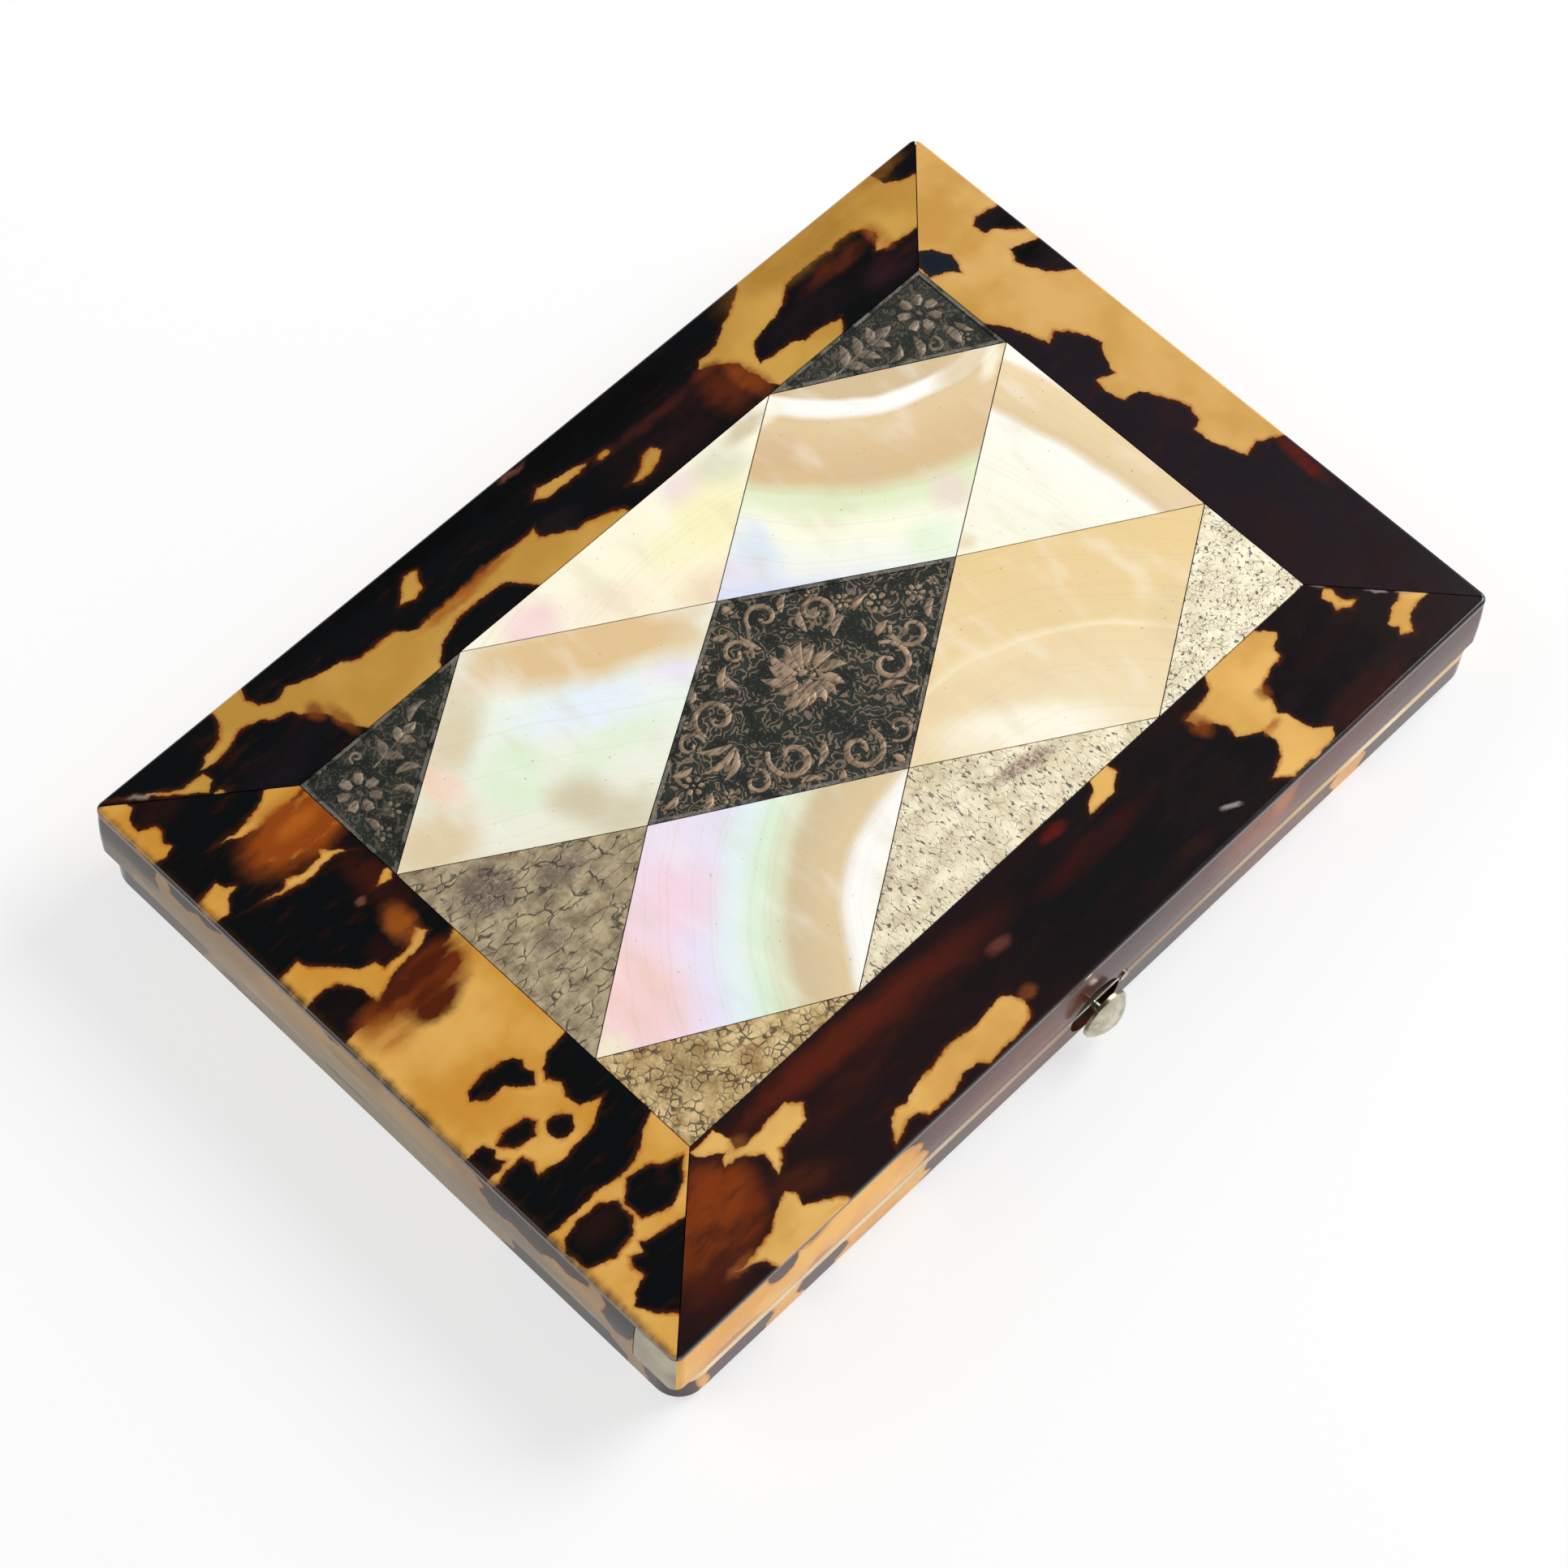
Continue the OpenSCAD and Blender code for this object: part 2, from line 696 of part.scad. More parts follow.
module lid_tray() {
    color(card_brown) difference() {
        translate([0, 0, lid_z]) linear_extrude(face_z - glue_t - lid_z)
            rounded(case_len - 2 * skin, case_w - 2 * skin, lid_corner_r - skin);
        translate([0, 0, lid_z - over]) linear_extrude(ceiling_z - lid_z + over)
            rounded(2 * pocket_x, 2 * pocket_y, pocket_r);
        button_recess();
        knuckle_groove();
        leaf_seat(lid_z - over, over + hinge_leaf_t + fit);
        translate([0, 0, lid_z]) at_leaf_pins() mirror([0, 0, 1]) flush_pin(leaf_pin_len + pin_end_gap, fit);
        at_keeper_pins() wall_pin(ear_pin_len + fit, fit);
    }
}

module lid_front_veneer() {
    color(shell_brown) difference() {
        lid_side(0);
        button_recess();
    }
}

module lid_right_veneer() {
    color(shell_brown) lid_side(1);
}

module lid_back_veneer() {
    color(shell_brown) difference() {
        lid_side(2);
        knuckle_groove();
        leaf_seat(lid_z - over, over + hinge_leaf_t + fit);
    }
}

// Box over the near front corner, where the near veneer is patched
module patch_zone(grow) {
    translate([-case_len / 2 - over, front_y - over, 0])
        cube([3 * lid_corner_r, patch_len + over + grow, top_z]);
}

module lid_left_veneer() {
    color(shell_honey) difference() {
        lid_side(3);
        patch_zone(joint_gap);
    }
}

module lid_corner_patch() {
    color(bone) intersection() {
        lid_side(3);
        patch_zone(0);
    }
}

// One mitred piece of the top frame: side 0 front, 1 far, 2 hinge side, 3 near
module frame_piece(side) {
    inner = [spot(-1, -1), spot(1, -1), spot(1, 1), spot(-1, 1)];
    outer = [for (p = [[-1, -1], [1, -1], [1, 1], [-1, 1]])
        [p[0] * case_len / 2, p[1] * case_w / 2]];
    a = side;
    b = (side + 1) % 4;
    intersection() {
        translate([0, 0, face_z])
            soft_plate(frame_len, frame_w, lid_corner_r - side_swell, inlay_t, top_edge_r);
        translate([0, 0, face_z - over]) linear_extrude(inlay_t + 2 * over)
            polygon(inset([outer[a], outer[b], inner[b], inner[a]], joint_gap / 2));
    }
}

module frame_front() {
    color(shell_brown) frame_piece(0);
}

module frame_right() {
    color(shell_honey) frame_piece(1);
}

module frame_back() {
    color(shell_brown) frame_piece(2);
}

module frame_left() {
    color(shell_honey) frame_piece(3);
}

// One flat piece of the panel, from its corners in turn
module inlay(corners) {
    translate([0, 0, face_z]) linear_extrude(inlay_t) polygon(inset(corners, joint_gap / 2));
}

module pearl_lozenge_far_back() {
    color(pearl) inlay([far_back, back_far, mid_back, mid_far]);
}

module pearl_lozenge_far_front() {
    color(pearl) inlay([mid_far, mid_front, front_far, far_front]);
}

module pearl_lozenge_near_back() {
    color(pearl) inlay([mid_back, back_near, near_back, mid_near]);
}

module pearl_lozenge_near_front() {
    color(pearl) inlay([mid_near, near_front, front_near, mid_front]);
}

module pearl_half_far() {
    color(pearl) inlay([far_front, far_back, mid_far]);
}

module pearl_half_back() {
    color(pearl) inlay([back_far, back_near, mid_back]);
}

module engraved_lozenge_middle() {
    color(dark_silver) inlay([mid_far, mid_back, mid_near, mid_front]);
}

module engraved_corner_far_back() {
    color(dark_silver) inlay([far_back, spot(1, 1), back_far]);
}

module engraved_corner_near_back() {
    color(dark_silver) inlay([back_near, spot(-1, 1), near_back]);
}

module silver_corner_far_front() {
    color(worn_silver) inlay([front_far, spot(1, -1), far_front]);
}

module silver_half_front() {
    color(worn_silver) inlay([front_near, front_far, mid_front]);
}

module silver_half_near() {
    color(worn_silver) inlay([near_back, near_front, mid_near]);
}

module silver_corner_near_front() {
    color(worn_silver) inlay([near_front, spot(-1, -1), front_near]);
}

module lid_lining() {
    color(board_red) translate([0, 0, lid_lining_z]) linear_extrude(lining_t)
        rounded(2 * (pocket_x - lining_gap), 2 * (pocket_y - lining_gap), pocket_r);
}

// Flat plate on the lid's front wall, thickened to a ledge at its lower edge
module keeper() {
    color(brass_tone) difference() {
        union() {
            translate([button_x - keeper_w / 2, -pocket_y + fit, keeper_ledge_z])
                cube([keeper_w, keeper_t, keeper_h]);
            translate([button_x - keeper_w / 2, -pocket_y + fit, keeper_ledge_z])
                cube([keeper_w, 2 * keeper_t, nose_h]);
        }
        at_keeper_pins() rotate([90, 0, 0])
            cylinder(h = 3 * keeper_t, r = pin_r + fit, center = true, $fn = pin_fn);
    }
}

module keeper_pins() {
    color(brass_tone) at_keeper_pins() wall_pin(ear_pin_len, 0);
}

// Silk-covered card with a thumb cut at the front
module card_leaf(level) {
    z = lining_z + inner_h * leaf_levels[level] - leaf_t / 2;
    color(board_red) translate([0, 0, z]) linear_extrude(leaf_t) difference() {
        translate([0, (leaf_front + leaf_back) / 2])
            rounded(2 * leaf_half, leaf_back - leaf_front, leaf_corner_r);
        translate([0, leaf_front + thumb_depth - thumb_r]) circle(thumb_r);
    }
}

module card_leaf_1() {
    card_leaf(0);
}

module card_leaf_2() {
    card_leaf(1);
}

module card_leaf_3() {
    card_leaf(2);
}

// Heights of the folds: linings and leaves hold the inner folds, pockets the outer ones
stops = [0, leaf_levels[0], leaf_levels[1], leaf_levels[2], 1];
folds = [for (i = [0 : 4]) each i < 4 ? [stops[i], (stops[i] + stops[i + 1]) / 2] : [stops[i]]];

// Pleated silk at one end of the leaves
module gusset(side) {
    inner = leaf_half + silk_gap;
    reach = gusset_w - silk_t;
    low = lining_z + seat;
    span = inner_h - 2 * seat;
    path = [for (i = [0 : len(folds) - 1]) [inner + (i % 2) * reach, low + folds[i] * span]];
    back = [for (i = [len(folds) - 1 : -1 : 0]) path[i] + [silk_t, 0]];
    color(silk_red) mirror([side < 0 ? 1 : 0, 0, 0]) translate([0, leaf_back, 0])
        rotate([90, 0, 0]) linear_extrude(leaf_back - leaf_front) polygon(concat(path, back));
}

module gusset_right() {
    gusset(1);
}

module gusset_left() {
    gusset(-1);
}

// Silk that joins the two linings behind the leaves
module spine_silk() {
    color(silk_red) translate([-pocket_x + silk_gap, spine_y, lining_z + seat])
        cube([2 * (pocket_x - silk_gap), silk_t, inner_h - 2 * seat]);
}

base_tray();
base_under_veneer();
base_front_veneer();
base_right_veneer();
base_back_veneer();
base_left_veneer();
base_rim_front();
base_rim_right();
base_rim_back();
base_rim_left();
base_lining();
hinge_base_leaf();
hinge_base_pins();
hinge_pin();
catch_bridge();
button_bush();
catch_housing();
catch_housing_pins();
catch_spring();
catch_button();
latch();
lid_tray();
lid_front_veneer();
lid_right_veneer();
lid_back_veneer();
lid_left_veneer();
lid_corner_patch();
frame_front();
frame_right();
frame_back();
frame_left();
pearl_lozenge_far_back();
pearl_lozenge_far_front();
pearl_lozenge_near_back();
pearl_lozenge_near_front();
pearl_half_far();
pearl_half_back();
engraved_lozenge_middle();
engraved_corner_far_back();
engraved_corner_near_back();
silver_corner_far_front();
silver_half_front();
silver_half_near();
silver_corner_near_front();
lid_lining();
hinge_lid_leaf();
hinge_lid_pins();
keeper();
keeper_pins();
card_leaf_1();
card_leaf_2();
card_leaf_3();
gusset_right();
gusset_left();
spine_silk();
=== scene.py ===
"""Looks of the card case: tortoiseshell, pearl, silver and silk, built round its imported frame."""

import json
import logging
import math
import random
from collections.abc import Callable
from dataclasses import dataclass, field
from enum import Enum

import bpy
from mathutils import Matrix, Vector

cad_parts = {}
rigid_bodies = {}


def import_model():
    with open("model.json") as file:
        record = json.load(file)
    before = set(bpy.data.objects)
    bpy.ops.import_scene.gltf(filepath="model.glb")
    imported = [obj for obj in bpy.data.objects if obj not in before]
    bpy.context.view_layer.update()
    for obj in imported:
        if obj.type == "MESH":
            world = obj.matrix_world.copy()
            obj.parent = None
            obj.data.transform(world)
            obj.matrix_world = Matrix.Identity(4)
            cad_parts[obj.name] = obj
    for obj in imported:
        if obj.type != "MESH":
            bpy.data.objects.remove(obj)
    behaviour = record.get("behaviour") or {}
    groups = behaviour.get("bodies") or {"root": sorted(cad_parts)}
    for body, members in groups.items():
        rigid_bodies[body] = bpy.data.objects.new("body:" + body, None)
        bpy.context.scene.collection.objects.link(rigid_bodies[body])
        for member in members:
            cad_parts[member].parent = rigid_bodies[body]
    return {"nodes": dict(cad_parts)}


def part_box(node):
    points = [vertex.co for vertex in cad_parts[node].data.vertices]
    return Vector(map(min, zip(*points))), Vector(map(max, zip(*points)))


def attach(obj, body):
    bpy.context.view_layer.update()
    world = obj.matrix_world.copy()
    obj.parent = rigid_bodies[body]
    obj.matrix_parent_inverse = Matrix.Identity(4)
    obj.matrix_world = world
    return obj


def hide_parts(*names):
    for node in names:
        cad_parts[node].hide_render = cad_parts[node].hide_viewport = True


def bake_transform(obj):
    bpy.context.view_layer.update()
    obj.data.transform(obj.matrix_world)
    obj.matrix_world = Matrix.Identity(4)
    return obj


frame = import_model()

LOG = logging.getLogger("card_case")
MM = 0.001
# From the case's frame to the one that the marks on it are laid out in, in millimetres
MARKS = (0.4, 0.3, 0.0)


# ---------------------------------------------------------------- node bench


class Flow:
    """A socket in a finish, on which Python's arithmetic adds Math nodes."""

    def __init__(self, bench: "Bench", socket: bpy.types.NodeSocket) -> None:
        """Keeps the bench and the socket."""
        self.bench = bench
        self.socket = socket

    def __add__(self, other: "Flow | float") -> "Flow":
        """Adds a socket or a number."""
        return self.bench.math("ADD", self, other)

    __radd__ = __add__

    def __sub__(self, other: "Flow | float") -> "Flow":
        """Takes a socket or a number away."""
        return self.bench.math("SUBTRACT", self, other)

    def __rsub__(self, other: "Flow | float") -> "Flow":
        """Takes this from a number."""
        return self.bench.math("SUBTRACT", other, self)

    def __mul__(self, other: "Flow | float") -> "Flow":
        """Multiplies by a socket or a number."""
        return self.bench.math("MULTIPLY", self, other)

    __rmul__ = __mul__


class Plane(Enum):
    """The two axes that a flat pattern is drawn on."""

    TOP = ("X", "Y")
    LONG_SIDE = ("X", "Z")
    SHORT_SIDE = ("Y", "Z")


@dataclass(frozen=True)
class Tone:
    """A colour as it is seen, each part from 0 to 255."""

    red: int
    green: int
    blue: int

    def linear(self) -> tuple[float, float, float, float]:
        """Gives the colour as the shader reads it.

        Returns:
            Its linear red, green and blue, and 1 for alpha.
        """
        parts = []
        for part in (self.red, self.green, self.blue):
            share = part / 255
            parts.append(share / 12.92 if share <= 0.04045 else ((share + 0.055) / 1.055) ** 2.4)
        return (*parts, 1.0)


@dataclass(frozen=True)
class Spot:
    """An oval mark on a face, in millimetres, turned by some degrees."""

    x: float
    y: float
    rx: float
    ry: float
    turn: float = 0.0


@dataclass(frozen=True)
class Tint:
    """A soft patch of colour."""

    tone: Tone
    spot: Spot
    strength: float


Corner = tuple[float, float]
Stop = tuple[float, Tone]


@dataclass(frozen=True)
class Patch:
    """A patch with straight edges: its corners in millimetres, going round leftwards."""

    corners: tuple[Corner, ...]

    def halves(self) -> tuple[tuple[Corner, ...], tuple[Corner, ...]]:
        """Cuts the outline at its first and last corner across the face.

        Returns:
            The lower and the upper chain of corners, each with the patch on its left.
        """
        first = self.corners.index(min(self.corners))
        ring = self.corners[first:] + self.corners[:first]
        last = ring.index(max(ring))
        return ring[: last + 1], ring[last:] + ring[:1]


def left_of(point: Corner, start: Corner, end: Corner) -> float:
    """Gives how far a point is to the left of the line from start to end."""
    dx, dy = end[0] - start[0], end[1] - start[1]
    return (dx * (point[1] - start[1]) - dy * (point[0] - start[0])) / math.hypot(dx, dy)


# Where a tint's spot has faded out, and up to where it is full, as shares of its radius
FADED, FULL = 1.35, 0.35


class Bench:
    """The node tree of one finish, or of the sky."""

    def __init__(self, owner: bpy.types.Material | bpy.types.World) -> None:
        """Takes a material or world and empties its tree.

        Args:
            owner: The material or world, just made.
        """
        self.owner = owner
        self.owner.use_nodes = True
        self.tree = self.owner.node_tree
        self.tree.nodes.clear()

    def node(
        self,
        kind: str,
        settings: dict[str, object] | None = None,
        inputs: dict[int | str, object] | None = None,
        output: int | str = 0,
    ) -> Flow:
        """Adds one node.

        Args:
            kind: The node's type.
            settings: Its settings, and a ramp's stops under "stops".
            inputs: Values or links by socket name or number.
            output: The output that is wanted.

        Returns:
            That output.
        """
        made = self.tree.nodes.new(kind)
        for key, value in (settings or {}).items():
            if key == "stops":
                band = made.color_ramp
                band.interpolation = "EASE"
                while len(band.elements) < len(value):
                    band.elements.new(1.0)
                for element, (place, tone) in zip(band.elements, value):
                    element.position = place
                    element.color = tone
            else:
                setattr(made, key, value)
        for key, value in (inputs or {}).items():
            socket = made.inputs[key]
            if isinstance(value, Flow):
                self.tree.links.new(value.socket, socket)
            else:
                socket.default_value = value
        return Flow(self, made.outputs[output])

    def math(self, operation: str, *values: "Flow | float") -> Flow:
        """Adds a Math node of that operation."""
        return self.node("ShaderNodeMath", {"operation": operation}, dict(enumerate(values)))

    def vector(self, operation: str, *values: object, output: int | str = 0) -> Flow:
        """Adds a Vector Math node of that operation."""
        return self.node(
            "ShaderNodeVectorMath", {"operation": operation}, dict(enumerate(values)), output
        )

    def mix(self, share: "Flow | float", low: object, high: object) -> Flow:
        """Mixes two colours by a share."""
        low, high = (t.linear() if isinstance(t, Tone) else t for t in (low, high))
        return self.node("ShaderNodeMix", {"data_type": "RGBA"}, {0: share, 6: low, 7: high}, 2)

    def step(self, value: Flow, low: float, high: float) -> Flow:
        """Rises smoothly from 0 at low to 1 at high."""
        return self.node(
            "ShaderNodeMapRange",
            {"interpolation_type": "SMOOTHSTEP"},
            {0: value, 1: low, 2: high, 3: 0.0, 4: 1.0},
        )

    def ramp(self, value: Flow, stops: tuple[Stop, ...]) -> Flow:
        """Turns a value into a colour.

        Args:
            value: The value.
            stops: Colours at places along it, in its own unit.

        Returns:
            The colour.
        """
        low, high = stops[0][0], stops[-1][0]
        share = self.node("ShaderNodeMapRange", {}, {0: value, 1: low, 2: high, 3: 0.0, 4: 1.0})
        placed = [((place - low) / (high - low), tone.linear()) for place, tone in stops]
        return self.node("ShaderNodeValToRGB", {"stops": placed}, {0: share})

    def point(self) -> Flow:
        """Gives the place on the piece in millimetres."""
        place = self.node("ShaderNodeTexCoord", output="Object")
        return self.node("ShaderNodeMapping", {}, {0: place, 1: MARKS, 3: (1 / MM,) * 3})

    def part(self, point: Flow, axis: str) -> Flow:
        """Gives one part of a point."""
        return self.node("ShaderNodeSeparateXYZ", {}, {0: point}, axis)

    def flat(self, point: Flow, plane: Plane) -> Flow:
        """Lays a point on a plane's two axes."""
        across, up = (self.part(point, axis) for axis in plane.value)
        return self.node("ShaderNodeCombineXYZ", {}, {0: across, 1: up, 2: 0.0})

    def noise(
        self,
        point: Flow,
        scale: float,
        detail: float = 2.0,
        rough: float = 0.5,
        seed: float = 0.0,
        stretch: tuple[float, float, float] = (1.0, 1.0, 1.0),
        output: str = "Fac",
    ) -> Flow:
        """Adds noise.

        Args:
            point: The point it is read at.
            scale: Lumps a millimetre.
            detail: How many finer noises lie over it.
            rough: How strong those are.
            seed: Where in the noise the piece lies.
            stretch: How far its lumps are drawn out along each axis.
            output: The output that is wanted.

        Returns:
            The noise, or its colour.
        """
        size = tuple(scale / s for s in stretch)
        moved = self.node(
            "ShaderNodeMapping", {}, {0: point, 1: (seed, 2 * seed, 3 * seed), 3: size}
        )
        return self.node(
            "ShaderNodeTexNoise",
            {"noise_dimensions": "3D"},
            {"Vector": moved, "Scale": 1.0, "Detail": detail, "Roughness": rough},
            output,
        )

    def warped(self, point: Flow, scale: float, reach: float, seed: float = 0.0) -> Flow:
        """Moves a point about by noise.

        Args:
            point: The point.
            scale: The noise's lumps a millimetre.
            reach: The most that the point moves, in millimetres.
            seed: The noise's seed.

        Returns:
            The moved point.
        """
        cloud = self.noise(point, scale, 2.0, seed=seed, output="Color")
        shift = self.vector("MULTIPLY_ADD", cloud, (2 * reach,) * 3, (-reach,) * 3)
        return self.vector("ADD", point, shift)

    def oval(self, point: Flow, spot: Spot) -> Flow:
        """Gives a point's distance from a spot's middle, which is 1 on the spot's edge."""
        placed = self.node(
            "ShaderNodeMapping",
            {"vector_type": "TEXTURE"},
            {
                0: point,
                1: (spot.x, spot.y, 0.0),
                2: (0.0, 0.0, math.radians(spot.turn)),
                3: (spot.rx, spot.ry, 1.0),
            },
        )
        return self.vector("LENGTH", placed, output="Value")

    def chain(self, point: Flow, corners: tuple[Corner, ...]) -> Flow:
        """Gives how far a point is inside a chain of edges.

        The chain is split at its corner farthest from the line between its ends, and
        the two parts are joined by the lower depth where it bends out and by the greater
        where it bends in, down to single edges.

        Args:
            point: The point, with 1 as its third part.
            corners: The chain's corners, with the patch on their left.

        Returns:
            The depth in millimetres, less than 0 outside.
        """
        start, end = corners[0], corners[-1]
        if len(corners) == 2:
            dx, dy = end[0] - start[0], end[1] - start[1]
            long = math.hypot(dx, dy)
            line = (-dy / long, dx / long, (dy * start[0] - dx * start[1]) / long)
            return self.vector("DOT_PRODUCT", point, line, output="Value")
        inner = range(1, len(corners) - 1)
        at = max(inner, key=lambda i: abs(left_of(corners[i], start, end)))
        outwards = left_of(corners[at + 1], corners[at - 1], corners[at]) > 0
        parts = (self.chain(point, corners[: at + 1]), self.chain(point, corners[at:]))
        return self.math("MINIMUM" if outwards else "MAXIMUM", *parts)

    def within(self, point: Flow, mark: "Spot | Patch") -> Flow:
        """Gives how far a point is inside a mark.

        Args:
            point: The point.
            mark: The spot or patch.

        Returns:
            The depth in millimetres, less than 0 outside.
        """
        if isinstance(mark, Spot):
            return (1.0 - self.oval(point, mark)) * min(mark.rx, mark.ry)
        raised = self.vector("MULTIPLY_ADD", point, (1.0, 1.0, 0.0), (0.0, 0.0, 1.0))
        return self.math("MINIMUM", *(self.chain(raised, half) for half in mark.halves()))

    def inside(self, point: Flow, spot: Spot) -> Flow:
        """Gives 1 round a spot's middle, fading to 0 a little outside its edge."""
        return self.step(self.oval(point, spot), FADED, FULL)

    def tinted(
        self, colour: Flow, point: Flow, tints: tuple[Tint, ...], mask: "Flow | float" = 1.0
    ) -> Flow:
        """Lays tints over a colour.

        Args:
            colour: The colour.
            point: The point that their spots are read at.
            tints: The tints.
            mask: How much of them shows, from 0 to 1.

        Returns:
            The tinted colour.
        """
        for tint in tints:
            share = self.inside(point, tint.spot) * (mask * tint.strength)
            colour = self.mix(share, colour, tint.tone)
        return colour

    def bump(self, height: Flow, depth: float) -> Flow:
        """Turns a height into a Normal, a height of 1 being so many millimetres."""
        return self.node(
            "ShaderNodeBump", {}, {"Strength": 1.0, "Distance": depth * MM, "Height": height}
        )

    def surface(self, **inputs: object) -> bpy.types.Material:
        """Ends the finish in a Principled shader.

        Args:
            inputs: Its sockets' values or links, with _ for a space in a name.

        Returns:
            The finished material.
        """
        named = {key.replace("_", " "): value for key, value in inputs.items()}
        self.end(self.node("ShaderNodeBsdfPrincipled", {}, named))
        return self.owner

    def end(self, shader: Flow) -> None:
        """Joins a shader to the output of the material or world.

        Args:
            shader: The shader.
        """
        kind = "World" if isinstance(self.owner, bpy.types.World) else "Material"
        out = self.tree.nodes.new(f"ShaderNodeOutput{kind}")
        self.tree.links.new(shader.socket, out.inputs["Surface"])


# ---------------------------------------------------------------- finishes

HONEY = Tone(226, 170, 86)
HONEY_PALE = Tone(240, 192, 112)
HONEY_DEEP = Tone(206, 140, 56)
SHELL_BLACK = Tone(6, 7, 8)
SHELL_BROWN = Tone(66, 27, 10)
SHELL_AMBER = Tone(164, 88, 24)
# Colour of the dark glue line and painted shade under the frame's rim
SHELL_EDGE_GLUE_AND_SHADE = Tone(58, 20, 10)
# Millimetres over which the dark glue line and painted shade under the frame's rim deepen
EDGE_FADE = 0.12


@dataclass(frozen=True)
class Tortoiseshell:
    """Polished shell: crisp dark clouds in honey, or honey in dark, with thin brown edges.

    Attributes:
        name: The finish's name.
        plane: The plane that its marks are drawn on.
        ground: Depth inside honey where no mark is, less than 0 for dark shell.
        dark: The dark marks.
        honey: The honey marks.
        deep: Soft colours in the dark.
        over: Soft colours over dark and honey.
        base: Colour of the dark.
        pale: Lighter colour of the honey.
        rich: Fuller colour of the honey.
        gloss: Strength of its reflections.
        edge: Height under which the rim darkens with a glue line and painted shade, or 0.
        cloud: Strength of clouds by chance, or 0.
        cloud_size: Their lumps a millimetre.
        seed: Seed of its noises.
        join: Millimetres over which marks that meet run together.
        wander: Lumps a millimetre and reach in millimetres of the marks' uneven edges.
        fray: The same for their fine unevenness.
        wave: Millimetres that the polish is uneven.
    """

    name: str
    plane: Plane
    ground: float = -3.0
    dark: tuple[Spot | Patch, ...] = ()
    honey: tuple[Spot | Patch, ...] = ()
    deep: tuple[Tint, ...] = ()
    over: tuple[Tint, ...] = ()
    base: Tone = SHELL_BLACK
    pale: Tone = HONEY_PALE
    rich: Tone = HONEY
    gloss: float = 0.5
    edge: float = 0.0
    cloud: float = 0.0
    cloud_size: float = 0.09
    seed: float = 1.0
    join: float = 0.15
    wander: tuple[float, float] = (0.9, 0.34)
    fray: tuple[float, float] = (3.2, 0.11)
    wave: float = 0.02

    def _depth(self, bench: Bench, point: Flow) -> Flow:
        """Joins ground, clouds and marks.

        Args:
            bench: The finish's bench.
            point: The point that the marks are read at.

        Returns:
            The millimetres inside honey, less than 0 in the dark.
        """
        depth: Flow | float = self.ground
        if self.cloud:
            lump = bench.noise(point, self.cloud_size, 3.0, 0.55, self.seed + 7)
            depth = (lump - 0.5) * self.cloud + self.ground
        for lighter in (self.ground < 0, self.ground >= 0):
            for mark in self.honey if lighter else self.dark:
                within = bench.within(point, mark)
                if lighter:
                    depth = bench.math("SMOOTH_MAX", depth, within, self.join)
                else:
                    depth = bench.math("SMOOTH_MIN", depth, within * -1.0, self.join)
        return depth

    def material(self) -> bpy.types.Material:
        """Builds the finish.

        Returns:
            The material.
        """
        bench = Bench(bpy.data.materials.new(self.name))
        whole = bench.point()
        place = bench.flat(whole, self.plane)
        point = bench.warped(place, *self.wander, self.seed)
        point = bench.warped(point, *self.fray, self.seed + 3)
        depth = self._depth(bench, point)
        tone = bench.noise(place, 0.12, 3.0, 0.5, self.seed + 11)
        streak = bench.noise(point, 0.7, 3.0, 0.55, self.seed + 13, (3.2, 0.8, 1.0))
        grain = bench.noise(place, 3.4, 3.0, 0.7, self.seed + 17)
        soft = bench.warped(place, 0.3, 0.7, self.seed + 23)

        honey = bench.mix(bench.step(tone, 0.36, 0.64), self.pale, self.rich)
        honey = bench.mix(bench.step(streak, 0.56, 0.8) * 0.3, honey, HONEY_DEEP)
        fleck = bench.step(grain, 0.64, 0.72) * bench.step(tone, 0.44, 0.6)
        honey = bench.mix(fleck * 0.3, honey, SHELL_AMBER)
        thin = bench.step(bench.noise(place, 0.25, 2.0, 0.5, self.seed + 29), 0.35, 0.65)
        halo = bench.step(depth, 0.42, 0.0) * (0.2 + 0.6 * thin)
        honey = bench.mix(halo, honey, SHELL_AMBER)

        dark = bench.mix(bench.step(streak, 0.52, 0.78) * 0.3, self.base, SHELL_BROWN)
        smoke = bench.noise(soft, 0.32, 4.0, 0.62, self.seed + 31, (2.4, 0.9, 1.0))
        smoky = 0.35 + 0.65 * bench.step(smoke, 0.36, 0.58)
        dark = bench.tinted(dark, soft, self.deep, smoky)
        rim = bench.step(depth, -0.55, 0.0) * (0.45 + 0.5 * thin)
        dark = bench.mix(rim, dark, SHELL_BROWN)

        colour = bench.mix(bench.step(depth, -0.1, 0.1), dark, honey)
        streaky = 0.55 + 0.45 * bench.step(streak, 0.3, 0.6)
        colour = bench.tinted(colour, point, self.over, streaky)
        # Below the edge height the rim darkens: a dark glue line with painted shade of the step
        # under it.
        if self.edge:
            below = bench.step(bench.part(whole, "Z"), self.edge, self.edge - EDGE_FADE)
            colour = bench.mix(below * 0.9, colour, SHELL_EDGE_GLUE_AND_SHADE)
        waves = bench.noise(place, 0.35, 2.0, seed=self.seed + 19) + grain * 0.03
        return bench.surface(
            Base_Color=colour,
            Roughness=0.1 + 0.12 * grain,
            IOR=1.5,
            Specular_IOR_Level=self.gloss,
            Normal=bench.bump(waves, self.wave),
        )


